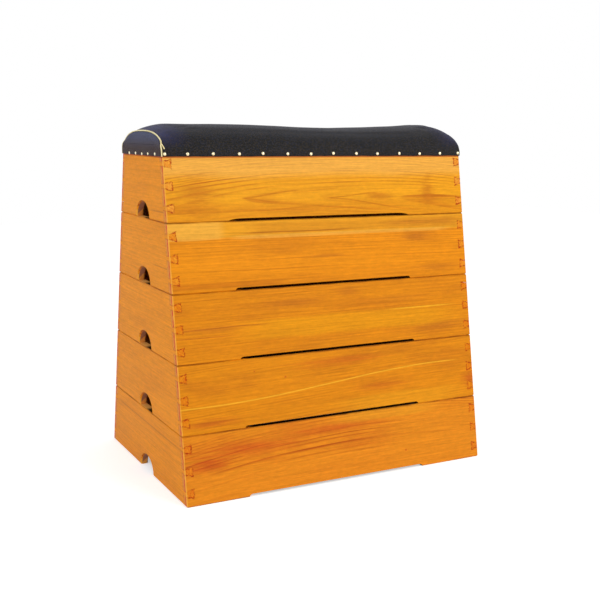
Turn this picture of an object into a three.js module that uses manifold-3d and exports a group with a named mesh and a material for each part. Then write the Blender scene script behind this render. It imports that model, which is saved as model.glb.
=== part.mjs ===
// A five-tier wooden vaulting box. Each tier is a frame of four boards, through-dovetailed at
// the corners, whose long sides lean inwards. Corner posts inside each tier stand up into the
// tier above and key the stack together. The top tier carries a deck, a foam pad and a nailed
// cover with piped ends.
// Lengths are millimetres. +X runs along the box, +Y across it, +Z up, and the floor is z = 0.

import * as THREE from 'three';
import { mergeVertices } from 'three/addons/utils/BufferGeometryUtils.js';
import Module from 'manifold-3d';

const wasm = await Module();
wasm.setup();

// The stack
const tierCount = 5;
const tierHeight = 150;
const topTierHeight = 156;
const boxLength = 775;
const footWidth = 530; // over the long boards at the floor
const topWidth = 270; // over the long boards at the top of the stack

// The boards and their joints
const boardThickness = 18;
const arris = 2; // eased outer edges of each tier
const jointGap = 0.3; // between pieces that touch
const pinCount = 3; // dovetail pins at each corner of a tier
const pinPitch = 47;
const pinHeight = 10; // at the pin's narrow edge, which lies on the box's end
const dovetailSlope = 1 / 4;

// The hand openings in the boards' lower edges
const handholeWidth = 88;
const handholeHeight = 36;
const handholeEase = 3;
const handholeSteps = 16;
const slotLength = 460;
const topSlotLength = 476;
const slotHeight = 6;
const slotShift = 10; // from a board's middle to its slot's middle, to the left as one faces it
const slotRunOut = 8; // length of the curved run-out at each end of a slot
const topSlotRunOut = 36; // the same in the top tier, where the cutter was lifted out slowly
const runOutBend = 0.25; // the share of a run-out after which it has risen most of the way
const slotRunOutSteps = 8;

// The corner posts
const postSize = 30;
const postReach = 28; // how far a post stands up into the tier above
const postHeadroom = 8; // between a post's top and the foot of the post above it
const postPlay = 2.5; // between a post's upper part and the boards that drop over it
const postShoulder = 3;
const postTipRun = 10; // length of the tapered tip
const postTipTaper = 4;

// The deck under the pad
const deckThickness = 12;
const deckPlay = 0.5;
const bearerCount = 3;
const bearerWidth = 40;
const bearerHeight = 30;

// The pad and its cover
const coverThickness = 1.5;
const coverLap = 16; // how far the cover comes down over the top tier's boards
const endCrown = 55; // the pad's height over the hem at its ends
const leftCrown = 68.5; // the same at the left shoulder, which hands have pressed down more
const rightCrown = 72.5;
const shoulderRun = 50; // how far from the ends the pad reaches its full height
const shoulderPower = 2.2;
const middleSag = 7; // how far the well-used middle lies below the shoulders
const sagShift = 88; // how far right of the box's middle the sag is deepest
const crownPower = 2.6; // 2 would be an ellipse, and more is squarer
const endBulge = 4;
const pipingDiameter = 3.2;
const pipingSink = 0.6; // how far the piping's middle lies under the cover's outer face
const archSteps = 24;
const padStations = 22;
const domeRings = 4;
const pipingSides = 8;
const pipingSteps = 36;

// What follows from the sizes above
const stackHeight = (tierCount - 1) * tierHeight + topTierHeight;
const lean = (footWidth - topWidth) / 2 / stackHeight;
const wall = boardThickness * Math.hypot(1, lean); // a leaning board's thickness along Y
const halfLength = boxLength / 2;
const postStart = postReach + postHeadroom;
const hem = topTierHeight - coverLap; // above the top tier's own foot
const deckUnderside = topTierHeight - deckThickness;
const pipingRadius = pipingDiameter / 2;
const pipingX = halfLength + coverThickness;
const coverEnd = pipingX - pipingRadius - jointGap;
const endPanelInset = pipingSink + pipingRadius + jointGap;
const foamBase = coverLap + jointGap; // over the hem
const foamInset = coverThickness + jointGap;
const overcut = 2; // how far a cutting shape runs past what it cuts
const domeMargin = 0.1; // the share by which the shape that hollows a domed end is wider

// Even steps from one value to another
const along = (start, end, count) =>
  Array.from({ length: count + 1 }, (_, i) => start + ((end - start) * i) / count);

// Colours
const finish = (color, roughness) => new THREE.MeshStandardMaterial({ color, roughness, metalness: 0 });
const materials = {
  longBoard: () => finish(0xe3962a, 0.38),
  endBoard: () => finish(0xd08432, 0.42),
  post: () => finish(0xd9b077, 0.6),
  deck: () => finish(0xcfa873, 0.7),
  bearer: () => finish(0xd4ad78, 0.65),
  foam: () => finish(0xe2d7a6, 0.95),
  cover: () => finish(0x20222f, 0.5),
  piping: () => finish(0xe8dba0, 0.55),
};

// Solids

function solidOf(geometry) {
  const bare = geometry.clone();
  bare.deleteAttribute('normal');
  bare.deleteAttribute('uv');
  const merged = mergeVertices(bare);
  const mesh = new wasm.Mesh({
    numProp: 3,
    vertProperties: merged.attributes.position.array,
    triVerts: Uint32Array.from(merged.index.array),
  });
  return new wasm.Manifold(mesh);
}

function geometryOf(solid) {
  const mesh = solid.getMesh();
  const geometry = new THREE.BufferGeometry();
  geometry.setAttribute('position', new THREE.BufferAttribute(mesh.vertProperties, 3));
  geometry.setIndex(new THREE.BufferAttribute(mesh.triVerts, 1));
  geometry.computeVertexNormals();
  return geometry;
}

// A skin over outlines of one point count, closed by a lid at each end. toSpace turns an
// outline's point and its place along the way into x, y and z. Each four-cornered field of the skin
// is folded along one diagonal, or along the other where crossed is true.
function loft(stations, toSpace, crossed = false) {
  const count = stations[0].outline.length;
  const positions = stations.flatMap(({ at, outline }) => outline.flatMap((point) => toSpace(point, at)));
  const triangles = [];
  for (let s = 0; s + 1 < stations.length; s++) {
    for (let i = 0; i < count; i++) {
      const a = s * count + i;
      const b = s * count + ((i + 1) % count);
      if (crossed) triangles.push(a, b, a + count, b, b + count, a + count);
      else triangles.push(a, b, b + count, a, b + count, a + count);
    }
  }
  const last = (stations.length - 1) * count;
  for (const [i, j, k] of THREE.ShapeUtils.triangulateShape(stations[0].outline, [])) triangles.push(k, j, i);
  for (const [i, j, k] of THREE.ShapeUtils.triangulateShape(stations.at(-1).outline, [])) {
    triangles.push(last + i, last + j, last + k);
  }
  const geometry = new THREE.BufferGeometry();
  geometry.setAttribute('position', new THREE.Float32BufferAttribute(positions, 3));
  geometry.setIndex(triangles);
  return geometry;
}

const upwards = (point, at) => [point.x, point.y, at];
const alongX = (point, at) => [at, point.x, point.y];

// A rectangle in plan, counter-clockwise
function rectangle(x0, x1, y0, y1) {
  const [left, right] = [Math.min(x0, x1), Math.max(x0, x1)];
  const [near, far] = [Math.min(y0, y1), Math.max(y0, y1)];
  return [[left, near], [right, near], [right, far], [left, far]].map(([x, y]) => new THREE.Vector2(x, y));
}

// A section drawn across the box, as y and z, and run along X
function runAlongX(points, x0, x1) {
  const shape = new THREE.Shape(points.map(([y, z]) => new THREE.Vector2(y, z)));
  const geometry = new THREE.ExtrudeGeometry(shape, { depth: x1 - x0, bevelEnabled: false });
  geometry.translate(0, 0, x0);
  const axes = new THREE.Matrix4().makeBasis(
    new THREE.Vector3(0, 1, 0), new THREE.Vector3(0, 0, 1), new THREE.Vector3(1, 0, 0));
  return solidOf(geometry.applyMatrix4(axes));
}

// A shape drawn on the long side, as x and z, and run across the box from y0 to y1
function runAcross(shape, y0, y1) {
  const geometry = new THREE.ExtrudeGeometry(shape, {
    depth: y1 - y0, bevelEnabled: false, curveSegments: slotRunOutSteps,
  });
  geometry.translate(0, 0, -y1);
  const axes = new THREE.Matrix4().makeBasis(
    new THREE.Vector3(1, 0, 0), new THREE.Vector3(0, 0, 1), new THREE.Vector3(0, -1, 0));
  return solidOf(geometry.applyMatrix4(axes));
}

// The boards of one tier. half(z) is the tier's half width at a height over its own foot.

// The outside of a tier, with every outer edge eased
function tierEnvelope(half, height) {
  const eased = (x, y) => [
    [x, arris - y], [x, y - arris], [x - arris, y], [arris - x, y],
    [-x, y - arris], [-x, arris - y], [arris - x, -y], [x - arris, -y],
  ].map(([px, py]) => new THREE.Vector2(px, py));
  const levels = [[0, arris], [arris, 0], [height - arris, 0], [height, arris]];
  return solidOf(loft(levels.map(([z, inset]) => ({
    at: z, outline: eased(halfLength - inset, half(z) - inset),
  })), upwards));
}

// The dovetail pins at one end of the box, as solids that cross its whole width. They narrow
// towards the end face, so the long board's tails lock the end board in.
function pinsAt(side, half, height, depth, growth) {
  const halfHeightAt = (inwards) => pinHeight / 2 + growth + inwards * dovetailSlope;
  const width = half(0) + overcut;
  const pins = Array.from({ length: pinCount }, (_, i) => {
    const middle = height / 2 + (i - (pinCount - 1) / 2) * pinPitch;
    const corners = [[-overcut, -1], [depth, -1], [depth, 1], [-overcut, 1]].map(([inwards, sign]) =>
      new THREE.Vector2(side * (halfLength - inwards), middle + sign * halfHeightAt(inwards)));
    return runAcross(new THREE.Shape(corners), -width, width);
  });
  return pins.reduce((all, pin) => all.add(pin));
}

// The long slot for the fingers in a long board's lower edge
function fingerSlot(half, isTop) {
  const [length, runOut] = isTop ? [topSlotLength, topSlotRunOut] : [slotLength, slotRunOut];
  const [left, right] = [-slotShift - length / 2, -slotShift + length / 2];
  const shape = new THREE.Shape();
  shape.moveTo(left, -overcut);
  shape.lineTo(left, 0);
  shape.quadraticCurveTo(left + runOut * runOutBend, slotHeight, left + runOut, slotHeight);
  shape.lineTo(right - runOut, slotHeight);
  shape.quadraticCurveTo(right - runOut * runOutBend, slotHeight, right, 0);
  shape.lineTo(right, -overcut);
  return runAcross(shape, -half(0) - overcut, -half(slotHeight) + wall + overcut);
}

// The arched handhole in an end board's lower edge, with its rims eased on both faces
function handhole() {
  const arch = (margin) => {
    const [wide, high] = [handholeWidth / 2 + margin, handholeHeight + margin];
    const over = along(0, Math.PI, handholeSteps).map((angle) =>
      new THREE.Vector2(wide * Math.cos(angle), high * Math.sin(angle)));
    return [new THREE.Vector2(wide, -overcut), ...over, new THREE.Vector2(-wide, -overcut)];
  };
  const stations = [
    [-overcut, handholeEase + overcut],
    [handholeEase, 0],
    [boardThickness - handholeEase, 0],
    [boardThickness + overcut, handholeEase + overcut],
  ];
  return solidOf(loft(stations.map(([inwards, margin]) => ({
    at: -halfLength + inwards, outline: arch(margin),
  })), alongX));
}

function frontBoard(half, height, envelope, isTop) {
  const slab = runAlongX([
    [-half(-overcut) - overcut, -overcut],
    [-half(-overcut) + wall, -overcut],
    [-half(height + overcut) + wall, height + overcut],
    [-half(height + overcut) - overcut, height + overcut],
  ], -halfLength - overcut, halfLength + overcut);
  const sockets = [-1, 1].map((side) => pinsAt(side, half, height, boardThickness + jointGap, jointGap));
  return slab.subtract(sockets[0]).subtract(sockets[1]).subtract(fingerSlot(half, isTop)).intersect(envelope);
}

function leftEndBoard(half, height, envelope) {
  const edge = (z) => half(z) + overcut;
  const inner = (z) => half(z) - wall - jointGap;
  const [low, high] = [-overcut, height + overcut];
  const board = runAlongX(
    [[-edge(low), low], [edge(low), low], [edge(high), high], [-edge(high), high]],
    -halfLength - overcut, -halfLength + boardThickness);
  const pins = pinsAt(-1, half, height, boardThickness + overcut, 0);
  const tails = [-1, 1].map((side) => runAlongX([
    [side * inner(low), low],
    [side * (edge(low) + overcut), low],
    [side * (edge(high) + overcut), high],
    [side * inner(high), high],
  ], -halfLength - 2 * overcut, -halfLength + boardThickness + overcut).subtract(pins));
  return board.subtract(tails[0]).subtract(tails[1]).subtract(handhole()).intersect(envelope);
}

// A corner post. Its outer sides follow the boards. The part that stands in the tier above is
// set in by its play and tapers at the tip, so the next tier finds its place as it comes down.
function cornerPost(half, top, stands, sideX, sideY) {
  const ring = (z, outerInset, innerInset) => {
    const xOuter = halfLength - boardThickness - jointGap;
    const yOuter = half(z) - wall - jointGap;
    return {
      at: z,
      outline: rectangle(
        sideX * (xOuter - outerInset), sideX * (xOuter - postSize + innerInset),
        sideY * (yOuter - outerInset), sideY * (yOuter - postSize + innerInset)),
    };
  };
  const rings = [ring(postStart, 0, 0)];
  if (stands) {
    rings.push(ring(top - postShoulder, 0, 0));
    rings.push(ring(top, postPlay, 0));
    rings.push(ring(top + postReach - postTipRun, postPlay, 0));
    rings.push(ring(top + postReach, postPlay + postTipTaper, postTipTaper));
  } else {
    rings.push(ring(top, 0, 0));
  }
  return loft(rings, upwards);
}

// The deck, which lies flush between the top tier's boards
function deckBoard(half) {
  const level = (z) => {
    const x = halfLength - boardThickness - deckPlay;
    const y = half(z) - wall - deckPlay;
    return { at: z, outline: rectangle(-x, x, -y, y) };
  };
  return loft([level(deckUnderside), level(topTierHeight)], upwards);
}

// A bearer, which crosses under the deck from one long board to the other
function deckBearer(half, x) {
  const top = deckUnderside - jointGap;
  const level = (z) => {
    const y = half(z) - wall - jointGap;
    return { at: z, outline: rectangle(x - bearerWidth / 2, x + bearerWidth / 2, -y, y) };
  };
  return loft([level(top - bearerHeight), level(top)], upwards);
}

// The pad. Heights are over the hem, and inset is measured in from the cover's outer face.

// The shoulders rise from left to right, and the sag fades out at the nearer end.
function crownAt(x) {
  const fromEnd = Math.max(0, halfLength - Math.abs(x));
  const shoulder = 1 - (1 - Math.min(1, fromEnd / shoulderRun)) ** shoulderPower;
  const fullHeight = (leftCrown + rightCrown) / 2 + ((rightCrown - leftCrown) / 2) * (x / halfLength);
  const fromSag = Math.min(1, Math.abs(x - sagShift) / (halfLength - Math.abs(sagShift)));
  const sag = middleSag * Math.cos((Math.PI / 2) * fromSag) ** 2;
  return endCrown + (fullHeight - endCrown) * shoulder - sag;
}

// Half the cover's width at the hem, where it lies on the leaning boards
const coverHalf = (half) => half(hem) + jointGap + coverThickness;

// Angles round the arch, from a height over the hem on one side to the same height on the other
function anglesFrom(height, crown) {
  const start = Math.asin((height / crown) ** (crownPower / 2));
  return along(start, Math.PI - start, archSteps);
}

// The pad's arch at x, from +Y over the top to -Y
function arch(half, x, inset, angles) {
  const wide = coverHalf(half) - inset;
  const high = crownAt(x) - inset;
  const power = 2 / crownPower;
  return angles.map((angle) => {
    const across = Math.cos(angle);
    const up = Math.abs(Math.sin(angle));
    return new THREE.Vector2(wide * Math.sign(across) * Math.abs(across) ** power, hem + high * up ** power);
  });
}

// The foam fills the cover from the deck up, so both are drawn through the same angles.
const foamAngles = (x) => anglesFrom(foamBase, crownAt(x) - foamInset);
const padStationsX = along(-1, 1, padStations).map((share) => coverEnd * Math.sin((share * Math.PI) / 2));

function coverMainPanel(half) {
  const stations = padStationsX.map((x) => {
    const angles = [0, ...foamAngles(x), Math.PI];
    const inside = arch(half, x, coverThickness, angles).reverse();
    return { at: x, outline: [...arch(half, x, 0, angles), ...inside] };
  });
  return loft(stations, alongX);
}

// A D-shaped outline drawn towards its own middle, for the domed ends
function drawnIn(outline, share) {
  const heights = outline.map((point) => point.y);
  const middle = new THREE.Vector2(0, (Math.min(...heights) + Math.max(...heights)) / 2);
  return outline.map((point) => point.clone().lerp(middle, share));
}

const domeShares = along(0, 1, domeRings).slice(0, -1);
const domeRise = (share) => endBulge * (1 - (1 - share) ** 2);

// The foam is folded like the inner face of its cover, whose outline runs the other way round.
function foamPad(half) {
  const body = padStationsX.slice(1, -1).map((x) => ({
    at: x, outline: arch(half, x, foamInset, foamAngles(x)),
  }));
  const endInset = foamInset + endPanelInset;
  const end = arch(half, halfLength, endInset, anglesFrom(foamBase, endCrown - endInset));
  const dome = (side) => domeShares.map((share) => ({
    at: side * (halfLength + domeRise(share)), outline: drawnIn(end, share),
  }));
  return loft([...dome(-1).reverse(), ...body, ...dome(1)], alongX, true);
}

// An end panel: flat where it laps over the end board, and domed above it
function endPanel(half, side) {
  const inner = halfLength + jointGap;
  const angles = anglesFrom(coverLap, endCrown - endPanelInset);
  const dome = arch(half, halfLength, endPanelInset, angles);
  const filled = (start, ...stations) => {
    const all = [start, ...stations].map(([x, share]) => ({ at: side * x, outline: drawnIn(dome, share) }));
    return solidOf(loft(side > 0 ? all : all.reverse(), alongX));
  };
  const face = (offset) => domeShares.map((share) => [inner + offset + domeRise(share), share]);
  const outside = filled([inner, 0], ...face(coverThickness));
  const inside = filled([inner - overcut, -domeMargin], [inner, -domeMargin], ...face(0));
  const lapTop = hem + coverLap + jointGap;
  const lap = arch(half, halfLength, endPanelInset, [0, ...angles, Math.PI])
    .map((point) => [point.x, Math.min(point.y, lapTop)]);
  const [x0, x1] = side > 0 ? [inner, inner + coverThickness] : [-inner - coverThickness, -inner];
  return outside.subtract(inside).add(runAlongX(lap, x0, x1));
}

function piping(half, side) {
  const points = arch(half, halfLength, pipingSink, along(0, Math.PI, archSteps)).map((point) =>
    new THREE.Vector3(side * pipingX, point.x, point.y));
  const path = new THREE.CatmullRomCurve3(points);
  const section = new THREE.Shape(along(0, 2 * Math.PI, pipingSides).slice(0, -1).map((angle) =>
    new THREE.Vector2(pipingRadius * Math.cos(angle), pipingRadius * Math.sin(angle))));
  return new THREE.ExtrudeGeometry(section, { steps: pipingSteps, extrudePath: path });
}

// The assembly

function place(group, name, geometry, material, turned = false) {
  const mesh = new THREE.Mesh(geometry, material);
  mesh.name = name;
  if (turned) mesh.rotation.z = Math.PI;
  group.add(mesh);
}

// Tiers are numbered from the top, so tier 5 stands on the floor.
function makeTier(number) {
  const tier = new THREE.Group();
  const foot = (tierCount - number) * tierHeight;
  const isTop = number === 1;
  const height = isTop ? topTierHeight : tierHeight;
  const half = (z) => footWidth / 2 - lean * (foot + z);
  const envelope = tierEnvelope(half, height);
  tier.position.z = foot;

  const long = geometryOf(frontBoard(half, height, envelope, isTop));
  const end = geometryOf(leftEndBoard(half, height, envelope));
  place(tier, `tier_${number}_front_board`, long, materials.longBoard());
  place(tier, `tier_${number}_back_board`, long, materials.longBoard(), true);
  place(tier, `tier_${number}_left_end_board`, end, materials.endBoard());
  place(tier, `tier_${number}_right_end_board`, end, materials.endBoard(), true);

  const postTop = isTop ? deckUnderside - jointGap : height;
  for (const [sideX, xName] of [[-1, 'left'], [1, 'right']]) {
    for (const [sideY, yName] of [[-1, 'front'], [1, 'back']]) {
      const geometry = cornerPost(half, postTop, !isTop, sideX, sideY);
      place(tier, `tier_${number}_${yName}_${xName}_post`, geometry, materials.post());
    }
  }
  if (isTop) addPaddedTop(tier, half);
  return tier;
}

function addPaddedTop(tier, half) {
  place(tier, 'deck_board', deckBoard(half), materials.deck());
  for (let i = 0; i < bearerCount; i++) {
    const x = boxLength * ((i + 1) / (bearerCount + 1) - 0.5);
    place(tier, `deck_bearer_${i + 1}`, deckBearer(half, x), materials.bearer());
  }
  place(tier, 'foam_pad', foamPad(half), materials.foam());
  place(tier, 'cover_main_panel', coverMainPanel(half), materials.cover());
  for (const [side, name] of [[-1, 'left'], [1, 'right']]) {
    place(tier, `cover_${name}_end_panel`, geometryOf(endPanel(half, side)), materials.cover());
    place(tier, `${name}_piping`, piping(half, side), materials.piping());
  }
}

const vaultingBox = new THREE.Group();
for (let number = tierCount; number >= 1; number--) vaultingBox.add(makeTier(number));

export default vaultingBox;
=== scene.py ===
"""A vaulting box of five dovetailed pine tiers under a nailed, padded cover, in a white studio.

Lengths in the driving values below are millimetres, and MM turns them to metres. +X runs along
the box, +Y across it and +Z up. Tiers are numbered from the top, so tier 5 stands on the floor.
"""

import math
import random

import bmesh
import bpy
from mathutils import Matrix, Vector, noise


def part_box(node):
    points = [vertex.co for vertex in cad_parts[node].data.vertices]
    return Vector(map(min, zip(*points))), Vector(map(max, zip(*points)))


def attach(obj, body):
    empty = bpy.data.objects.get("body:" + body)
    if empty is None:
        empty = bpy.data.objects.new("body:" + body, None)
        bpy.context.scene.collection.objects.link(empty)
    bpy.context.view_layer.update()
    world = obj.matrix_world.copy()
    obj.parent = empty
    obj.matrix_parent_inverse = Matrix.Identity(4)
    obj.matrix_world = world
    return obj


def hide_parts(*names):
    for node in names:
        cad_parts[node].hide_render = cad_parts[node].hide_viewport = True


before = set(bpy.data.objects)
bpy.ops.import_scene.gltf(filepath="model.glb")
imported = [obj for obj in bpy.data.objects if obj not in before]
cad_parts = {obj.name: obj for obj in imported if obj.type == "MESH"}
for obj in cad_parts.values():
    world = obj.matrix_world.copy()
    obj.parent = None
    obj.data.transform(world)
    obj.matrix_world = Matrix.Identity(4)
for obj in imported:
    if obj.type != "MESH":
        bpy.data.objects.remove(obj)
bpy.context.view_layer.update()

MM = 0.001

# The stack
TIER_COUNT = 5
TIER_HEIGHT = 150
TOP_TIER_HEIGHT = 156
HALF_LENGTH = 387.5
FOOT_HALF = 265
TOP_HALF = 135
STACK_HEIGHT = (TIER_COUNT - 1) * TIER_HEIGHT + TOP_TIER_HEIGHT
LEAN = (FOOT_HALF - TOP_HALF) / STACK_HEIGHT
BOARD = 18
WALL = BOARD * math.hypot(1, LEAN)
DECK_TOP = STACK_HEIGHT

# The dovetails, as they show on the two faces of a corner
PIN_PITCH = 47
PIN_HALF = 5
PIN_SLOPE = 0.25
PIN_COUNT = 3
SLOT_REACH = 215
HANDHOLE_REACH = 46

# The pad and its cover. Crowns are heights over the hem. The pad rises from its ends over the
# shoulders' run, sags most at a place right of the middle, and is stuffed fuller at its right end.
HEM = 740
COVER_THICKNESS = 1.5
COVER_GAP = 0.3
COVER_HALF = FOOT_HALF - LEAN * HEM + COVER_GAP + COVER_THICKNESS
END_CROWN = 55
LEFT_CROWN = 68.5
RIGHT_CROWN = 72.5
SHOULDER_RUN = 50
SHOULDER_POWER = 2.2
MIDDLE_SAG = 7
SAG_SHIFT = 88
RIGHT_FILL = 5
FILL_FADE = 130
CROWN_POWER = 2.6
END_BULGE = 4
FOAM_EASE = 0.6  # the share by which the foam's domed ends stand back from the cloth

# How the foam fills the cloth: the pressure behind it, how far the main panel and an end panel may
# swell, how far the cloth may slip, and over how many steps it settles
PRESSURE = 4
MAIN_SWELL = 1.6
END_SWELL = 2.0
CLOTH_SLIP = 0.4
SETTLING_STEPS = 20

# The piping, and how the seam draws the cloth in above the end board
PIPING_RADIUS = 1.45
PIPING_SINK = 0.8
PIPING_X = HALF_LENGTH + COVER_THICKNESS
COVER_END = PIPING_X - PIPING_RADIUS - COVER_GAP
END_PANEL_INSET = 1.2 + PIPING_RADIUS + COVER_GAP
LEFT_LEAN = 3.9
RIGHT_LEAN = 1.5
LEAN_START = 21
LEAN_REACH = 13
LEAN_FADE = 90

# The back leg of the left seam is drawn in round the corner at the hem.
TUCK = 4.6
TUCK_REACH = 27

# At the right end the cloth rolls over the edge, and the piping lies on the end face inside the roll.
ROLL_OUT = PIPING_X - COVER_END
ROLL_TURN = 1.5
ROLLED_SINK = ROLL_TURN + COVER_THICKNESS + COVER_GAP + PIPING_RADIUS

# The strip's loose end: it leaves the seam at (along, over the hem), and runs and drops this much.
TAIL_FROM = (387, 28)
TAIL_RUN = 4.4
TAIL_DROP = 12
TAIL_LIFT = 0.2
TAIL_RADIUS = 1.5
TAIL_STEPS = 8

# The nails along the hem, which were set by eye and stray a little along it and up or down
NAIL_RADIUS = 3.9
NAIL_HEIGHT = 2.6
NAIL_PROUD = 0.4
NAIL_RISE = 6.2
NAIL_STRAY = 2
LONG_NAILS = 12
LONG_NAILS_REACH = 330
LONG_NAIL_STRAY = 0.7
CORNER_NAIL = 382.5
END_NAILS = 5
END_NAILS_REACH = 88
END_NAILS_SHIFT = 11
END_NAIL_RISE = 4
END_NAIL_STRAY = 1.5

# The corner posts, and the screws in them and in the deck's bearers. A post's screws sit at shares of
# their reach up the tier, and those into the long board sit a step higher than their neighbours.
POST_SIZE = 30
JOINT_GAP = 0.3
SCREW_RADIUS = 4
SCREW_THICKNESS = 1.6
SCREW_SLOT = 1.1
SCREW_PROUD = 0.2
SCREW_HEADROOM = 20
SCREW_REACH = 0.84
SCREW_STEP = 14
POST_SCREWS = (0.42, 0.88)
BEARER_SCREWS = (0.12, 0.5, 0.88)

# The wood of the boards that the front view doesn't single out, and the strays of the nails, are drawn
# by chance from here, the same in each run.
random.seed(7)


def colour(code):
    """A linear colour from an sRGB hex code."""
    shares = [int(code[i:i + 2], 16) / 255 for i in (1, 3, 5)]
    return (*[s / 12.92 if s <= 0.04045 else ((s + 0.055) / 1.055) ** 2.4 for s in shares], 1)


def half_width(z):
    """Half the width over the long boards at a height over the floor."""
    return FOOT_HALF - LEAN * z


def tier_foot(tier):
    return (TIER_COUNT - tier) * TIER_HEIGHT


def tier_height(tier):
    return TOP_TIER_HEIGHT if tier == 1 else TIER_HEIGHT


# Nodes

MATH = "ShaderNodeMath"
VECTOR = "ShaderNodeVectorMath"
ROTATE = "ShaderNodeVectorRotate"
MIX = "ShaderNodeMix"
RANGE = "ShaderNodeMapRange"
NOISE = "ShaderNodeTexNoise"
PLACE = "ShaderNodeTexCoord"
SPLIT = "ShaderNodeSeparateXYZ"


def add(tree, kind, inputs=None, out=0, **settings):
    """Adds a node with its settings, sets or links its inputs, and gives one of its outputs."""
    node = tree.nodes.new(kind)
    for name, value in settings.items():
        setattr(node, name, value)
    for name, value in (inputs or {}).items():
        socket = node.inputs[name]
        if isinstance(value, bpy.types.NodeSocket):
            tree.links.new(value, socket)
        else:
            socket.default_value = value
    return node.outputs[out]


def new_material(name):
    material = bpy.data.materials.new(name)
    material.use_nodes = True
    material.node_tree.nodes.clear()
    return material, material.node_tree


def finish_surface(tree, inputs):
    """The surface's shader and the material's output."""
    shader = add(tree, "ShaderNodeBsdfPrincipled", inputs, out="BSDF")
    tree.links.new(shader, tree.nodes.new("ShaderNodeOutputMaterial").inputs["Surface"])


def place_on_box(tree):
    """Where a point lies on the box, in millimetres."""
    return add(tree, VECTOR, {0: add(tree, PLACE, out="Object"), "Scale": 1 / MM}, operation="SCALE")


# Pine. Every board is cut from a trunk whose rings run round its heart, so faces show straight or
# arched grain and ends show the rings, all from the same solid pattern.

# Turns the box's directions so that X runs to the right along a board, Y into it and Z up it. A post
# is turned so that X runs up it.
LEAN_ANGLE = math.atan(LEAN)
BOARD_TURN = {
    "front": (LEAN_ANGLE, 0, 0),
    "back": (-LEAN_ANGLE, 0, math.pi),
    "left": (0, 0, math.pi / 2),
    "right": (0, 0, -math.pi / 2),
    "post": (0, math.pi / 2, 0),
}


def board_place(tree, middle, turn):
    """Millimetres from the middle of a board's face, along it, into it and up it."""
    place = add(tree, PLACE, out="Object")
    moved = add(tree, VECTOR, {0: place, 1: [m * MM for m in middle]}, operation="SUBTRACT")
    turned = add(tree, ROTATE, {"Vector": moved, "Rotation": turn}, rotation_type="EULER_XYZ")
    return add(tree, VECTOR, {0: turned, "Scale": 1 / MM}, operation="SCALE")


# How far apart two seeds lie in the noise
SEED_STRIDE = (3.7, 5.3, 7.1)


def stretched_noise(tree, place, lengths, seed, detail=2.0, roughness=0.5, out="Fac"):
    """Noise whose blots have these lengths, in millimetres, along the three axes."""
    shares = [1 / length for length in lengths]
    start = [seed * stride for stride in SEED_STRIDE]
    spread = add(tree, VECTOR, {0: place, 1: shares, 2: start}, operation="MULTIPLY_ADD")
    return add(tree, NOISE, {"Vector": spread, "Scale": 1.0, "Detail": detail, "Roughness": roughness},
               out=out)


def year_rings(tree, place, wood):
    """How much of the dark late wood shows at a point, from 0 to 1."""
    seed, wander = wood["seed"], wood["wander"]

    # Along the board the heart drifts and bows off, and the rings wander about it.
    along = add(tree, SPLIT, {0: place}, out="X")
    drift = add(tree, VECTOR, {0: (0, *wood["drift"]), "Scale": along}, operation="SCALE")
    share = add(tree, MATH, {0: along, 1: 1 / HALF_LENGTH}, operation="MULTIPLY")
    share = add(tree, MATH, {0: share, 1: share}, operation="MULTIPLY")
    bow = add(tree, VECTOR, {0: (0, *wood["bow"]), "Scale": share}, operation="SCALE")
    slow = stretched_noise(tree, place, (380, 110, 110), seed, out="Color")
    quick = stretched_noise(tree, place, (90, 24, 24), seed + 1, out="Color")
    bent = add(tree, VECTOR, {0: slow, 1: (2 * wander,) * 3, 2: (-wander,) * 3}, operation="MULTIPLY_ADD")
    bent = add(tree, VECTOR, {0: quick, 1: (0.22 * wander,) * 3, 2: bent}, operation="MULTIPLY_ADD")
    bent = add(tree, VECTOR, {0: bent, 1: drift}, operation="ADD")
    bent = add(tree, VECTOR, {0: bent, 1: bow}, operation="ADD")
    around = add(tree, VECTOR, {0: place, 1: bent}, operation="ADD")
    around = add(tree, VECTOR, {0: around, 1: (0, 1, 1), 2: (0, -wood["heart"][0], -wood["heart"][1])},
                 operation="MULTIPLY_ADD")

    # A point's ring is its distance from the heart in ring widths, crowded in some years.
    radius = add(tree, VECTOR, {0: around}, out="Value", operation="LENGTH")
    ring = add(tree, MATH, {0: radius, 1: 1 / wood["ring"], 2: wood["phase"]}, operation="MULTIPLY_ADD")
    crowd = add(tree, MATH, {0: ring, 1: 0.17, 2: seed}, operation="MULTIPLY_ADD")
    crowd = add(tree, NOISE, {"W": crowd, "Scale": 1.0, "Detail": 1.0}, noise_dimensions="1D")
    ring = add(tree, MATH, {0: crowd, 1: 2.4, 2: ring}, operation="MULTIPLY_ADD")

    # Within a year the wood darkens slowly and then ends sharply, in some years more than in others.
    year = add(tree, MATH, {0: ring}, operation="FLOOR")
    within = add(tree, MATH, {0: ring}, operation="FRACT")
    rise = add(tree, RANGE, {"Value": within, 1: 0.45, 2: 0.88, 3: 0.0, 4: 1.0},
               interpolation_type="SMOOTHSTEP")
    fall = add(tree, RANGE, {"Value": within, 1: 0.9, 2: 1.0, 3: 1.0, 4: 0.0},
               interpolation_type="SMOOTHSTEP")
    late = add(tree, MATH, {0: rise, 1: fall}, operation="MULTIPLY")
    strength = add(tree, "ShaderNodeTexWhiteNoise", {"W": year}, noise_dimensions="1D")
    strength = add(tree, RANGE, {"Value": strength, 1: 0.0, 2: 1.0, 3: 0.2, 4: 1.0})
    late = add(tree, MATH, {0: late, 1: strength}, operation="MULTIPLY")

    # Here and there the rings fade.
    shown = stretched_noise(tree, place, (170, 60, 30), seed + 7, detail=1)
    shown = add(tree, RANGE, {"Value": shown, 1: 0.38, 2: 0.6, 3: 0.3, 4: 1.0})
    return add(tree, MATH, {0: late, 1: shown}, operation="MULTIPLY")


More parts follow.
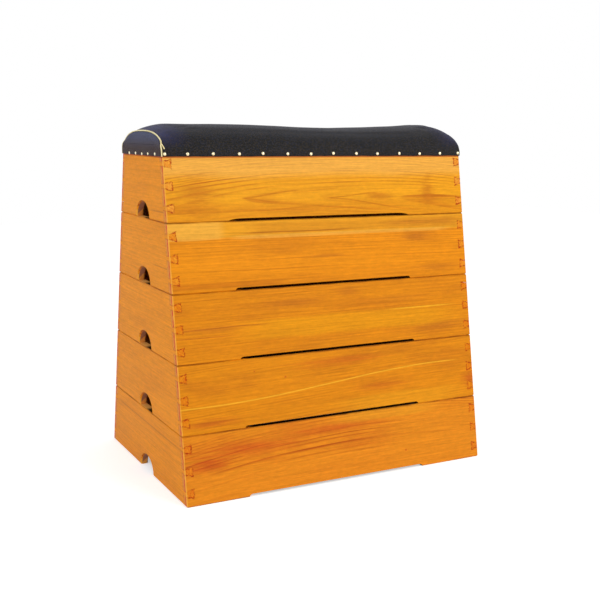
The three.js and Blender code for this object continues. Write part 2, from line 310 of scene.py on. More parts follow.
def stain_share(tree, place, wood, stain):
    """The share of a stain at a point: a ragged patch at (x, z) with half sizes (wide, high)."""
    x, z, wide, high, share = stain
    moved = add(tree, VECTOR, {0: place, 1: (1 / wide, 0, 1 / high), 2: (-x / wide, 0, -z / high)},
                operation="MULTIPLY_ADD")
    distance = add(tree, VECTOR, {0: moved}, out="Value", operation="LENGTH")
    ragged = stretched_noise(tree, place, (1.3 * wide, wide, 0.3 * high), wood["seed"] + x,
                             detail=5, roughness=0.7)
    distance = add(tree, MATH, {0: ragged, 1: 2.2, 2: distance}, operation="MULTIPLY_ADD")
    return add(tree, RANGE, {"Value": distance, 1: 1.1, 2: 2.3, 3: share, 4: 0.0},
               interpolation_type="SMOOTHSTEP")


def strip_share(tree, place, wood, strip):
    """The share of a strip of other wood, or of a glue line, between two heights over the middle."""
    along = add(tree, SPLIT, {0: place}, out="X")
    over = add(tree, SPLIT, {0: place}, out="Z")
    if "climb" in strip:
        start, end, rise = strip["climb"]
        lift = add(tree, RANGE, {"Value": along, 1: start, 2: end, 3: 0.0, 4: rise},
                   interpolation_type="SMOOTHSTEP")
        over = add(tree, MATH, {0: over, 1: lift}, operation="SUBTRACT")
    wavy = stretched_noise(tree, place, (140, 400, 400), wood["seed"] + strip["low"], detail=1)
    over = add(tree, MATH, {0: wavy, 1: strip["waves"], 2: over}, operation="MULTIPLY_ADD")
    low, high = strip["low"] + strip["waves"] / 2, strip["high"] + strip["waves"] / 2
    left, right = strip.get("span", (-2 * HALF_LENGTH, 2 * HALF_LENGTH))
    soft, fade = strip["soft"], strip.get("fade", 30)
    share = None
    for value, start, end, inside, outside in (
        (over, low - soft, low, 0.0, strip["share"]),
        (over, high, high + soft, 1.0, 0.0),
        (along, left - fade, left + fade, 0.0, 1.0),
        (along, right - fade, right + fade, 1.0, 0.0),
    ):
        part = add(tree, RANGE, {"Value": value, 1: start, 2: end, 3: inside, 4: outside},
                   interpolation_type="SMOOTHSTEP")
        share = part if share is None else add(tree, MATH, {0: share, 1: part}, operation="MULTIPLY")
    return share


# Painted shade, near black, on the edges under the finger slots so that the slots look black from outside,
# and on the shaded side of the handholes' sills
SLOT_PAINTED_SHADE = "#120a05"


def board_marks(tree, place, normal, wood, mid_height):
    """The marks that joints, dirt and hands leave, and the light and shade painted in the openings and
    under the hem, as (share, colour) pairs. Spots are in the box's directions, from the tier's middle
    height."""
    spot = add(tree, VECTOR, {0: place_on_box(tree), 1: (0, 0, mid_height)}, operation="SUBTRACT")
    facing = add(tree, PLACE, out="Normal")
    steep = add(tree, VECTOR, {0: facing}, operation="ABSOLUTE")
    height = add(tree, SPLIT, {0: spot}, out="Z")
    across, upward = (add(tree, SPLIT, {0: steep}, out=axis) for axis in "XZ")
    edge = add(tree, MATH, {0: add(tree, SPLIT, {0: facing}, out="Z"), 1: 0.9}, operation="GREATER_THAN")
    return (
        *joint_marks(tree, place, spot, across, wood, mid_height),
        *wear_marks(tree, place, height, across, upward, wood, mid_height),
        *opening_marks(tree, place, normal, edge, wood, mid_height),
    )


def joint_marks(tree, place, spot, across, wood, mid_height):
    """The dirty outlines of the dovetails, and the broken end grain in and beside them."""
    size = add(tree, VECTOR, {0: spot}, operation="ABSOLUTE")
    x, y = (add(tree, SPLIT, {0: size}, out=axis) for axis in "XY")
    height = add(tree, SPLIT, {0: spot}, out="Z")
    on_end = add(tree, MATH, {0: across, 1: 0.9}, operation="GREATER_THAN")
    dashes = stretched_noise(tree, place, (7, 7, 4), wood["seed"] + 5, detail=2, roughness=0.6)
    dashes = add(tree, RANGE, {"Value": dashes, 1: 0.46, 2: 0.58, 3: 0.0, 4: 1.0})

    # How far a point lies in from the box's end, in from the long board's face, and from the nearest pin
    inward = add(tree, MATH, {0: HALF_LENGTH, 1: x}, operation="SUBTRACT")
    face = add(tree, MATH, {0: height, 1: -LEAN, 2: half_width(mid_height)}, operation="MULTIPLY_ADD")
    depth = add(tree, MATH, {0: face, 1: y}, operation="SUBTRACT")
    nearest = add(tree, MATH, {0: height, 1: PIN_PITCH}, operation="DIVIDE")
    nearest = add(tree, MATH, {0: nearest}, operation="ROUND")
    reach = (PIN_COUNT - 1) / 2
    nearest = add(tree, "ShaderNodeClamp", {"Value": nearest, "Min": -reach, "Max": reach})
    off = add(tree, MATH, {0: nearest, 1: -PIN_PITCH, 2: height}, operation="MULTIPLY_ADD")
    off = add(tree, MATH, {0: off}, operation="ABSOLUTE")

    # The joint's outline on the long side is the pin, and on the end it is the tails between the pins.
    flank = add(tree, MATH, {0: inward, 1: PIN_SLOPE, 2: PIN_HALF}, operation="MULTIPLY_ADD")
    past_flank = add(tree, MATH, {0: off, 1: flank}, operation="SUBTRACT")
    past_root = add(tree, MATH, {0: inward, 1: BOARD}, operation="SUBTRACT")
    pin = add(tree, MATH, {0: past_flank, 1: past_root}, operation="MAXIMUM")
    into_pin = add(tree, MATH, {0: PIN_HALF, 1: off}, operation="SUBTRACT")
    past_tail = add(tree, MATH, {0: depth, 1: WALL}, operation="SUBTRACT")
    tail = add(tree, MATH, {0: into_pin, 1: past_tail}, operation="MAXIMUM")
    outline = add(tree, MIX, {0: on_end, 2: pin, 3: tail}, data_type="FLOAT")
    outline = add(tree, MATH, {0: outline}, operation="ABSOLUTE")
    joint = add(tree, RANGE, {"Value": outline, 1: 0.9, 2: 2.8, 3: 1.0, 4: 0.0},
                interpolation_type="SMOOTHSTEP")
    joint = add(tree, MATH, {0: joint, 1: dashes}, operation="MULTIPLY")
    strength = add(tree, MIX, {0: on_end, 2: 0.92, 3: 0.35}, data_type="FLOAT")
    joint = add(tree, MATH, {0: joint, 1: strength}, operation="MULTIPLY")

    # Broken end grain shows as strokes: all over the pins, and on the tails beside the corner.
    in_pin = add(tree, MATH, {0: pin, 1: 0.0}, operation="LESS_THAN")
    in_tail = add(tree, MATH, {0: into_pin, 1: 0.0}, operation="LESS_THAN")
    near = add(tree, RANGE, {"Value": depth, 1: 6.0, 2: 12.0, 3: 1.0, 4: 0.0},
               interpolation_type="SMOOTHSTEP")
    near = add(tree, MATH, {0: near, 1: in_tail}, operation="MULTIPLY")
    grainy = add(tree, MATH, {0: in_pin, 1: 0.3}, operation="MULTIPLY")
    grainy = add(tree, MIX, {0: on_end, 2: grainy, 3: near}, data_type="FLOAT")
    strokes = stretched_noise(tree, place, (2.6, 2.6, 9), wood["seed"] + 9, detail=1)
    strokes = add(tree, RANGE, {"Value": strokes, 1: 0.42, 2: 0.56, 3: 0.2, 4: 1.0})
    strokes = add(tree, MATH, {0: strokes, 1: grainy}, operation="MULTIPLY")
    return (joint, wood["line"]), (strokes, wood["stroke"])


def wear_marks(tree, place, height, across, upward, wood, mid_height):
    """What wear and dirt have left on a board's corners and edges, and a painted shadow under the hem."""
    # Hands have worn the varnish off the upright corners.
    upright = add(tree, MATH, {0: upward, 1: 0.35}, operation="LESS_THAN")
    corner = add(tree, MATH, {0: across, 1: 0.7}, operation="SUBTRACT")
    corner = add(tree, MATH, {0: corner}, operation="ABSOLUTE")
    corner = add(tree, RANGE, {"Value": corner, 1: 0.08, 2: 0.2, 3: 0.9, 4: 0.0})
    corner = add(tree, MATH, {0: corner, 1: upright}, operation="MULTIPLY")
    worn = stretched_noise(tree, place, (60, 30, 30), wood["seed"] + 6, detail=2)
    worn = add(tree, RANGE, {"Value": worn, 1: 0.35, 2: 0.55, 3: 0.45, 4: 1.0})
    corner = add(tree, MATH, {0: corner, 1: worn}, operation="MULTIPLY")

    # Dirt sits in the eased edges where tiers meet.
    patchy = stretched_noise(tree, place, (80, 80, 20), wood["seed"] + 8, detail=3, roughness=0.6)
    patchy = add(tree, RANGE, {"Value": patchy, 1: 0.36, 2: 0.62, 3: 0.05, 4: 1.0})
    rim = add(tree, MATH, {0: upward, 1: 0.7}, operation="SUBTRACT")
    rim = add(tree, MATH, {0: rim}, operation="ABSOLUTE")
    rim = add(tree, RANGE, {"Value": rim, 1: 0.12, 2: 0.22, 3: 0.7, 4: 0.0})
    rim = add(tree, MATH, {0: rim, 1: patchy}, operation="MULTIPLY")

    # A dark line under the cover's hem: painted shadow of the hem, and old dirt
    under = add(tree, MATH, {0: height, 1: HEM - mid_height - 1.0}, operation="SUBTRACT")
    under = add(tree, MATH, {0: under}, operation="ABSOLUTE")
    under = add(tree, RANGE, {"Value": under, 1: 0.8, 2: 2.6, 3: 0.7, 4: 0.0})
    return (corner, wood["worn"]), (rim, wood["dirt"]), (under, wood["line"])


def opening_marks(tree, place, normal, edge, wood, mid_height):
    """Inside the openings, light and shade are painted: the edge that hands lie on and the foot of the arch
    over it are painted lit on one side, and the rest of the edge and the arch's inner faces are painted in
    shade."""
    across_board, into, up = (add(tree, SPLIT, {0: place}, out=axis) for axis in "XYZ")
    along = add(tree, MATH, {0: across_board}, operation="ABSOLUTE")
    open_reach = wood["open_reach"]
    opened = add(tree, RANGE, {"Value": along, 1: open_reach, 2: open_reach + 15, 3: 0.94, 4: 0.0})
    # Painted shade on the whole edge in the opening, then painted light on its lit side and on the arch's
    # foot; the arch's inner faces get painted shade.
    sill = add(tree, MATH, {0: opened, 1: edge}, operation="MULTIPLY")
    painted_light_share = add(tree, RANGE, {"Value": across_board, 1: -6.0, 2: 10.0, 3: 1.0, 4: 0.0})
    painted_lit_sill = add(tree, MATH, {0: painted_light_share, 1: sill}, operation="MULTIPLY")
    inner = add(tree, MATH, {0: add(tree, SPLIT, {0: normal}, out="Y")}, operation="ABSOLUTE")
    inner = add(tree, MATH, {0: inner, 1: 0.3}, operation="LESS_THAN")
    inner = add(tree, MATH, {0: inner, 1: edge}, operation="SUBTRACT", use_clamp=True)
    inner = add(tree, MATH, {0: inner, 1: opened}, operation="MULTIPLY")
    half_tier = (TOP_TIER_HEIGHT if mid_height > tier_foot(1) else TIER_HEIGHT) / 2
    over_edge = add(tree, MATH, {0: up, 1: into}, operation="SUBTRACT")
    foot = add(tree, RANGE, {"Value": over_edge, 1: -half_tier - 1, 2: 4 - half_tier, 3: 1.0, 4: 0.0})
    foot = add(tree, MATH, {0: foot, 1: inner}, operation="MULTIPLY")
    foot = add(tree, MATH, {0: foot, 1: painted_light_share}, operation="MULTIPLY")
    return (sill, SLOT_PAINTED_SHADE), (painted_lit_sill, wood["sill"]), (inner, wood["arch"]), (foot, wood["foot"])


def pine(name, turn, middle, wood, mid_height=None):
    """Pine under old satin varnish: amber, with the late wood darker, and rings where end grain shows.
    Hardly any clear coat is left on it, so its sheen is low."""
    material, tree = new_material(name)
    place = board_place(tree, middle, turn)
    seed = wood["seed"]
    late = year_rings(tree, place, wood)
    shown = add(tree, MATH, {0: late, 1: wood["contrast"]}, operation="MULTIPLY")
    early, late_wood = colour(wood["early"]), colour(wood["late"])
    base = add(tree, MIX, {0: shown, 6: early, 7: late_wood}, out=2, data_type="RGBA")

    # Streaks are drawn about 5 mm wide and fibres 1.3 mm, coarser than the real ones, so that they show.
    streaks = (((320, 5, 5), 0.9, 1.09), ((45, 1.3, 1.3), 0.87, 1.12), ((14, 6, 6), 0.93, 1.07))
    tone = None
    for lengths, low, high in streaks:
        part = stretched_noise(tree, place, lengths, seed + lengths[0], detail=4, roughness=0.65)
        part = add(tree, RANGE, {"Value": part, 1: 0.3, 2: 0.7, 3: low, 4: high})
        tone = part if tone is None else add(tree, MATH, {0: tone, 1: part}, operation="MULTIPLY")

    # Broad patches where the varnish or the wood itself is darker
    patch = stretched_noise(tree, place, (190, 80, 45), seed + 4, detail=4, roughness=0.6)
    patch = add(tree, RANGE, {"Value": patch, 1: 0.44, 2: 0.7, 3: 0.0, 4: wood["patchiness"]},
                interpolation_type="SMOOTHSTEP")
    base = add(tree, MIX, {0: patch, 6: base, 7: colour(wood["patch"])}, out=2, data_type="RGBA")
    for strip in wood.get("strips", ()):
        share = strip_share(tree, place, wood, strip)
        base = add(tree, MIX, {0: share, 6: base, 7: colour(strip["tone"])}, out=2, data_type="RGBA")
    for stain in wood.get("stains", ()):
        share = stain_share(tree, place, wood, stain)
        base = add(tree, MIX, {0: share, 6: base, 7: colour(wood["stain"])}, out=2, data_type="RGBA")
    base = add(tree, VECTOR, {0: base, "Scale": tone}, operation="SCALE")

    # End grain
    normal = add(tree, ROTATE, {"Vector": add(tree, PLACE, out="Normal"), "Rotation": turn},
                 rotation_type="EULER_XYZ")
    facing = add(tree, MATH, {0: add(tree, SPLIT, {0: normal}, out="X")}, operation="ABSOLUTE")
    end_grain = add(tree, RANGE, {"Value": facing, 1: 0.8, 2: 0.95, 3: 0.0, 4: 0.85})
    end_tone = add(tree, VECTOR, {0: colour(wood["end"])[:3], "Scale": tone}, operation="SCALE")
    base = add(tree, MIX, {0: end_grain, 6: base, 7: end_tone}, out=2, data_type="RGBA")
    rings = add(tree, MATH, {0: end_grain, 1: late}, operation="MULTIPLY")
    rings = add(tree, MATH, {0: rings, 1: 0.5}, operation="MULTIPLY")
    base = add(tree, MIX, {0: rings, 6: base, 7: colour(wood["line"])}, out=2, data_type="RGBA")

    if mid_height is not None:
        for share, code in board_marks(tree, place, normal, wood, mid_height):
            base = add(tree, MIX, {0: share, 6: base, 7: colour(code)}, out=2, data_type="RGBA")

    fibre = stretched_noise(tree, place, (30, 1.2, 1.2), seed + 3, detail=3)
    relief = add(tree, MATH, {0: late, 1: 0.6, 2: fibre}, operation="MULTIPLY_ADD")
    bump = add(tree, "ShaderNodeBump", {"Strength": 0.25, "Distance": 0.15 * MM, "Height": relief},
               out="Normal")
    rough = add(tree, MATH, {0: fibre, 1: 0.14, 2: wood["roughness"]}, operation="MULTIPLY_ADD")
    finish_surface(tree, {
        "Base Color": base, "Roughness": rough, "Normal": bump, "Specular IOR Level": wood["gloss"],
        "Coat Weight": wood["coat"], "Coat Roughness": 0.25,
    })
    return material


def wood_like(**changes):
    """A board's wood, from what the boards have in common and what this one has of its own. The
    trunk's heart lies (inwards, up) from the middle of the board's face, and drifts and bows off."""
    wood = {
        "seed": 1.0, "heart": (120.0, -40.0), "drift": (0.0, 0.0), "bow": (0.0, 0.0),
        "ring": 5.2, "phase": 0.0, "wander": 4.0, "contrast": 0.5, "patchiness": 0.5,
        "early": "#e08c12", "late": "#a8580a", "patch": "#c57314", "stain": "#b96a18",
        "end": "#dc8a2c", "line": "#a8300c", "stroke": "#cc2a08", "worn": "#f4ae44", "dirt": "#7c3d14",
        # In a finger slot the sill, the arch and its foot are all painted shade.
        "sill": SLOT_PAINTED_SHADE, "arch": SLOT_PAINTED_SHADE, "foot": SLOT_PAINTED_SHADE, "open_reach": SLOT_REACH,
        "roughness": 0.38, "gloss": 0.07, "coat": 0.02,
    }
    wood.update(changes)
    return wood


def grain_line(start, end, height, rise, share):
    """A thin line of late wood that runs from x to x and rises, or falls, on the way."""
    return {
        "low": height, "high": height + 1, "soft": 1.7, "waves": 3, "share": share, "tone": "#bb680c",
        "span": (start + 6, end), "fade": 9, "climb": (start, end, rise),
    }


# Where the top board's rings come to the face, they make two arrowheads that point left, over an arc.
ARROWHEADS = (
    grain_line(-214, -70, -29, 14, 0.5),
    grain_line(-214, -120, -30, -10, 0.45),
    grain_line(4, 140, -33, 9, 0.5),
    grain_line(4, 260, -34, -32, 0.5),
    grain_line(-90, 30, -20, 8, 0.3),
    grain_line(-180, -10, -59, 8, 0.4),
    grain_line(-20, 150, -52, -11, 0.4),
)

# The front boards are as traced. Stains are (x, z, half width, half height, share) from the board's
# middle. A strip lies between two heights over it, and one that climbs does so from x to x.
FRONT_WOOD = {
    1: wood_like(
        seed=3.0, heart=(75.0, -29.0), drift=(0.0173, 0.0), bow=(0.0, 26.0), ring=3.8, wander=3.0,
        contrast=1.25, early="#eca11a", late="#b0580e", patch="#d98e16", stain="#bd6a12", patchiness=0.35,
        stains=((-312, -18, 62, 58, 0.55), (148, -30, 48, 13, 0.6), (286, -28, 26, 44, 0.6),
                (-60, -58, 120, 8, 0.35)),
        strips=(
            {"low": 33, "high": 90, "soft": 26, "waves": 12, "share": 0.62, "tone": "#f0b352"},
            {"low": -90, "high": -50, "soft": 22, "waves": 12, "share": 0.5, "tone": "#d98612"},
            *ARROWHEADS,
        ),
    ),
    2: wood_like(
        seed=11.0, heart=(200.0, -250.0), drift=(0.0, 0.01), ring=4.8, contrast=0.6,
        early="#e88f12", late="#b5650a", stain="#b0641a",
        stains=((240, 24, 50, 14, 0.6), (235, 60, 110, 12, 0.5), (330, 58, 50, 12, 0.4),
                (0, -10, 60, 5, 0.4), (300, -52, 80, 10, 0.4)),
        strips=(
            {"low": 42, "high": 90, "soft": 1.5, "waves": 2, "share": 0.65, "tone": "#e8a626"},
            {"low": 40, "high": 90, "soft": 2, "waves": 8, "share": 0.55, "tone": "#f0b44a",
             "span": (-400, -262), "fade": 14},
            {"low": 48, "high": 66, "soft": 7, "waves": 6, "share": 0.42, "tone": "#c87c16",
             "span": (-190, 400)},
            {"low": 48.5, "high": 49.5, "soft": 1.5, "waves": 3, "share": 0.7, "tone": "#a0560f",
             "span": (-210, 60)},
            {"low": 38, "high": 43, "soft": 3, "waves": 3, "share": 0.42, "tone": "#f2b850",
             "span": (-235, 330)},
            {"low": -90, "high": -50, "soft": 18, "waves": 8, "share": 0.4, "tone": "#dc8410"},
            {"low": -66, "high": -60, "soft": 6, "waves": 4, "share": 0.5, "tone": "#b9640f",
             "span": (-400, -130)},
        ),
    ),
    3: wood_like(
        seed=23.0, heart=(160.0, 190.0), drift=(0.0, -0.01), ring=5.6, contrast=0.45, early="#df8912",
        stain="#b9691a", patchiness=0.65,
        stains=((-90, 40, 95, 18, 0.55), (45, 57, 40, 14, 0.5), (300, -45, 110, 14, 0.6),
                (-300, -5, 90, 10, 0.5), (180, 30, 120, 12, 0.35)),
        strips=(
            {"low": -32, "high": -4, "soft": 14, "waves": 22, "share": 0.5, "tone": "#e9a012",
             "span": (-210, 330), "fade": 90},
            {"low": 5, "high": 6, "soft": 1.6, "waves": 2, "share": 0.8, "tone": "#f0b428",
             "span": (165, 325)},
            {"low": -3, "high": -2, "soft": 1.3, "waves": 5, "share": 0.5, "tone": "#a9521a",
             "span": (-390, -170)},
            {"low": -21, "high": -20, "soft": 1.3, "waves": 4, "share": 0.5, "tone": "#a9521a",
             "span": (-390, -260)},
        ),
    ),
    4: wood_like(
        seed=31.0, heart=(140.0, -200.0), drift=(0.0, -0.05), ring=5.4, contrast=0.45, early="#df8a13",
        stain="#c0561a", patchiness=0.65,
        stains=((-320, -56, 85, 13, 0.6), (376, -30, 26, 26, 0.7), (20, 48, 150, 14, 0.5),
                (120, -20, 90, 12, 0.35), (-133, 27, 3.5, 2.5, 1.0), (-209, 47, 2.5, 2.5, 0.9)),
        strips=(
            {"low": -74, "high": -46, "soft": 10, "waves": 14, "share": 0.5, "tone": "#eaa01c",
             "span": (10, 330), "fade": 70},
            {"low": -19, "high": -18, "soft": 1.6, "waves": 2, "share": 0.85, "tone": "#f2b22c",
             "span": (-420, 325), "climb": (-320, 290, 38)},
        ),
    ),
    5: wood_like(
        seed=47.0, heart=(70.0, -50.0), drift=(0.0, -0.02), bow=(0.0, 28.0), ring=6.4, contrast=0.95,
        early="#e38a1c", late="#a84410", patch="#c8661a", stain="#c03c18",
        stains=((-330, 8, 62, 18, 0.6), (-260, 34, 160, 20, 0.5), (-20, 48, 150, 12, 0.4),
                (175, -30, 3, 3, 0.9)),
        strips=(
            {"low": -100, "high": -20, "soft": 24, "waves": 16, "share": 0.72, "tone": "#e88f20"},
            {"low": -60, "high": 40, "soft": 18, "waves": 14, "share": 0.75, "tone": "#e38c1e",
             "span": (120, 420), "fade": 90},
            {"low": 56, "high": 90, "soft": 8, "waves": 12, "share": 0.5, "tone": "#e9a024",
             "span": (0, 260), "fade": 60},
        ),
    ),
}


def chance(low, high):
    return low + (high - low) * random.random()


def other_wood(**changes):
    """The wood of a board that the front view doesn't single out, by chance within what pine does."""
    return wood_like(
        seed=chance(50, 400), heart=(chance(70, 190), chance(-150, 150)), drift=(0.0, chance(-0.03, 0.03)),
        bow=(0.0, chance(-20, 20)), ring=chance(4.4, 6.2), wander=chance(3, 6), **changes)


# The short boards are a calmer, browner lot. Their end grain is the pins on the long sides.
# Their sill and the foot of the handhole's arch are painted light, and the arch's inner faces painted
# shade.
END_TONES = {
    "early": "#e88f18", "late": "#b8640e", "patch": "#cf7a16", "patchiness": 0.35, "stain": "#ad6016",
    "contrast": 0.2, "sill": "#ffb85e", "arch": "#b1775b", "foot": "#ffaf50", "open_reach": HANDHOLE_REACH,
    "dirt": "#9a5218", "gloss": 0.04, "coat": 0.0,
}

# The pins' end grain is toned like the long boards beside it. Each left board's glue seam lies at a
# height over its middle, with a share, and shows from a place along the board on.
PIN_TONES = {1: "#f0a83a", 2: "#ec9e28", 3: "#e48e1a", 4: "#e48f1a", 5: "#e68c22"}
LEFT_SEAMS = {
    1: (-57, 0.42, 50), 2: (-24, 0.36, 70), 3: (22, 0.12, -200), 4: (5, 0.12, -200),
    5: (43, 0.34, -200),
}


def dress_boards():
    """Cuts each board from wood of its own."""
    for tier in range(1, TIER_COUNT + 1):
        mid_height = tier_foot(tier) + tier_height(tier) / 2
        for side, way in (("front", -1), ("back", 1)):
            front = FRONT_WOOD[tier]
            wood = front if side == "front" else other_wood(
                early=front["early"], late=front["late"], patch=front["patch"], stain=front["stain"])
            middle = (0, way * half_width(mid_height), mid_height)
            dress_board(f"tier_{tier}_{side}_board", side, middle, wood, mid_height)
        for side, way in (("left", -1), ("right", 1)):
            glue, share, start = chance(-35, 45), 0.35, -FOOT_HALF
            if side == "left":
                glue, share, start = LEFT_SEAMS[tier]
            seam = {"low": glue, "high": glue + 1, "soft": 2.4, "waves": 2, "share": share,
                    "tone": "#9a4c14", "span": (start, FOOT_HALF)}
            wood = other_wood(strips=(seam,), end=PIN_TONES[tier], **END_TONES)
            middle = (way * HALF_LENGTH, 0, mid_height)
            dress_board(f"tier_{tier}_{side}_end_board", side, middle, wood, mid_height)


def dress_board(name, side, middle, wood, mid_height):
    """Gives a board varnished pine, turned and placed as the board is."""
    title = f"varnished pine, {name.replace('_', ' ')}"
    dress(name, pine(title, BOARD_TURN[side], middle, wood, mid_height))


def dress(node, material):
    """Gives a node of the frame its finish."""
    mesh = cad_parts[node].data
    mesh.materials.clear()
    mesh.materials.append(material)


def dress_inner_wood():
    """Planed pine posts and bearers, hardly varnished, and the birch plywood deck."""
    bare = {
        "early": "#d9b277", "late": "#b98a4c", "patch": "#cda66b", "end": "#bf9a66", "line": "#a87838",
        "roughness": 0.55, "gloss": 0.3, "coat": 0.0,
    }
    post_pine = pine("planed pine, posts", BOARD_TURN["post"], (0, 0, 0), other_wood(**bare))
    bearer_middle = (0, 0, STACK_HEIGHT)
    bearer_pine = pine("planed pine, bearers", BOARD_TURN["left"], bearer_middle, other_wood(**bare))
    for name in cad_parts:
        if name.endswith("_post"):
            dress(name, post_pine)
        if name.startswith("deck_bearer"):
            dress(name, bearer_pine)
    dress("deck_board", plywood())


def plywood():
    """Birch plywood: a pale, calm face cut round the trunk, and thin layers along the edges."""
    material, tree = new_material("birch plywood")
    place = board_place(tree, (0, 0, DECK_TOP), (0, 0, 0))
    broad = stretched_noise(tree, place, (260, 34, 34), 9, detail=3, roughness=0.6)
    broad = add(tree, RANGE, {"Value": broad, 1: 0.35, 2: 0.65, 3: 0.0, 4: 1.0})
    face = add(tree, MIX, {0: broad, 6: colour("#d8b888"), 7: colour("#c09a66")}, out=2, data_type="RGBA")
    fibre = stretched_noise(tree, place, (22, 0.9, 0.9), 10, detail=2)
    layer = add(tree, MATH, {0: add(tree, SPLIT, {0: place}, out="Z"), 1: 2.4}, operation="PINGPONG")
    layer = add(tree, MATH, {0: layer, 1: 1.2}, operation="GREATER_THAN")
    edge = add(tree, SPLIT, {0: add(tree, PLACE, out="Normal")}, out="Z")
    edge = add(tree, MATH, {0: edge}, operation="ABSOLUTE")
    edge = add(tree, MATH, {0: edge, 1: 0.5}, operation="LESS_THAN")
    layered = add(tree, MATH, {0: layer, 1: edge}, operation="MULTIPLY")
    shade = add(tree, MIX, {0: layered, 6: face, 7: colour("#8f6a40")}, out=2, data_type="RGBA")
    tone = add(tree, RANGE, {"Value": fibre, 1: 0.25, 2: 0.75, 3: 0.92, 4: 1.05})
    shade = add(tree, VECTOR, {0: shade, "Scale": tone}, operation="SCALE")
    bump = add(tree, "ShaderNodeBump", {"Strength": 0.2, "Distance": 0.1 * MM, "Height": fibre},
               out="Normal")
    finish_surface(tree, {
        "Base Color": shade, "Roughness": 0.65, "Normal": bump, "Specular IOR Level": 0.3,
    })
    return material


# The cover, the piping and the foam

def cover_cloth(name, dark, pale, low, high, painted_sheen):
    """Coated canvas, nearly black: the weave shows faintly through a dull skin. It goes from dark
    and pale tones at the hem, over the patches that low and high give, to a bluish painted sheen at
    the shoulders, a painted reflection, with a share at the left end and one at the right."""
    material, tree = new_material(name)
    place = place_on_box(tree)
    cloth = add(tree, VECTOR, {0: add(tree, PLACE, out="UV"), "Scale": 1 / MM}, operation="SCALE")
    cloud = add(tree, NOISE, {"Vector": place, "Scale": 0.02, "Detail": 3.0, "Roughness": 0.6})
    cloud = add(tree, RANGE, {"Value": cloud, 1: 0.4, 2: 0.7, 3: 0.0, 4: 1.0})
    skin = add(tree, MIX, {0: cloud, 6: colour(dark), 7: colour(pale)}, out=2, data_type="RGBA")
    height = add(tree, SPLIT, {0: place}, out="Z")
    risen = add(tree, RANGE, {"Value": height, 1: HEM + 12, 2: HEM + 50, 3: 0.0, 4: 1.0},
                interpolation_type="SMOOTHSTEP")
    # Up from the hem the tone goes from low to high. On the end panels this is painted light: brown and
    # dark at the hem, bluish and lit higher up.
    tint = add(tree, MIX, {0: risen, 6: colour(low), 7: colour(high)}, out=2, data_type="RGBA")
    skin = add(tree, MIX, {0: 0.5, 6: skin, 7: tint}, out=2, data_type="RGBA")

    # The painted sheen, a bluish painted reflection, lies within a hand's breadth of each end, over the
    # flanks.
    along = add(tree, SPLIT, {0: place}, out="X")
    painted_light_share = None
    for reach, share in zip((-HALF_LENGTH, HALF_LENGTH), painted_sheen):
        part = add(tree, RANGE, {"Value": along, 1: reach, 2: 0.79 * reach, 3: share, 4: 0.0},
                   interpolation_type="SMOOTHSTEP")
        painted_light_share = part if painted_light_share is None else add(tree, MATH, {0: painted_light_share, 1: part}, operation="ADD")
    ragged = add(tree, NOISE, {"Vector": place, "Scale": 0.05, "Detail": 4.0, "Roughness": 0.7})
    ragged = add(tree, RANGE, {"Value": ragged, 1: 0.35, 2: 0.6, 3: 0.5, 4: 1.0})
    painted_light_share = add(tree, MATH, {0: painted_light_share, 1: ragged}, operation="MULTIPLY")
    painted_light_share = add(tree, MATH, {0: painted_light_share, 1: risen}, operation="MULTIPLY")
    skin = add(tree, MIX, {0: painted_light_share, 6: skin, 7: colour("#40427a")}, out=2, data_type="RGBA")

    # Specks of dust and of bare canvas, drawn about 3 mm wide, twice the real ones, so that they show
    grain = add(tree, NOISE, {"Vector": place, "Scale": 0.55, "Detail": 4.0, "Roughness": 0.7})
    for code, most, reach in (("#42372b", 0.5, (0, 0, 0)), ("#283048", 0.35, (310, 170, 90))):
        moved = add(tree, VECTOR, {0: place, 1: reach}, operation="ADD")
        speck = add(tree, NOISE, {"Vector": moved, "Scale": 0.36, "Detail": 2.0, "Roughness": 0.6})
        speck = add(tree, RANGE, {"Value": speck, 1: 0.48, 2: 0.6, 3: 0.0, 4: most})
        skin = add(tree, MIX, {0: speck, 6: skin, 7: colour(code)}, out=2, data_type="RGBA")

    # The canvas has a thread every 1.4 mm, coarser than the real 0.8 mm, so that it shows.
    threads = add(tree, VECTOR, {0: cloth, "Scale": 2 * math.pi / 1.4}, operation="SCALE")
    threads = add(tree, VECTOR, {0: threads}, operation="SINE")
    warp, weft = (add(tree, SPLIT, {0: threads}, out=axis) for axis in "XY")
    weave = add(tree, MATH, {0: warp, 1: weft}, operation="MULTIPLY")
    relief = add(tree, MATH, {0: weave, 1: 0.35, 2: grain}, operation="MULTIPLY_ADD")
    bump = add(tree, "ShaderNodeBump", {"Strength": 0.5, "Distance": 0.35 * MM, "Height": relief},
               out="Normal")
    rough = add(tree, RANGE, {"Value": grain, 1: 0.3, 2: 0.7, 3: 0.5, 4: 0.66})
    finish_surface(tree, {
        "Base Color": skin, "Roughness": rough, "Normal": bump, "Specular IOR Level": 0.12,
        "Sheen Weight": 0.05, "Sheen Roughness": 0.4, "Sheen Tint": colour("#5a66b4"),
    })
    return material


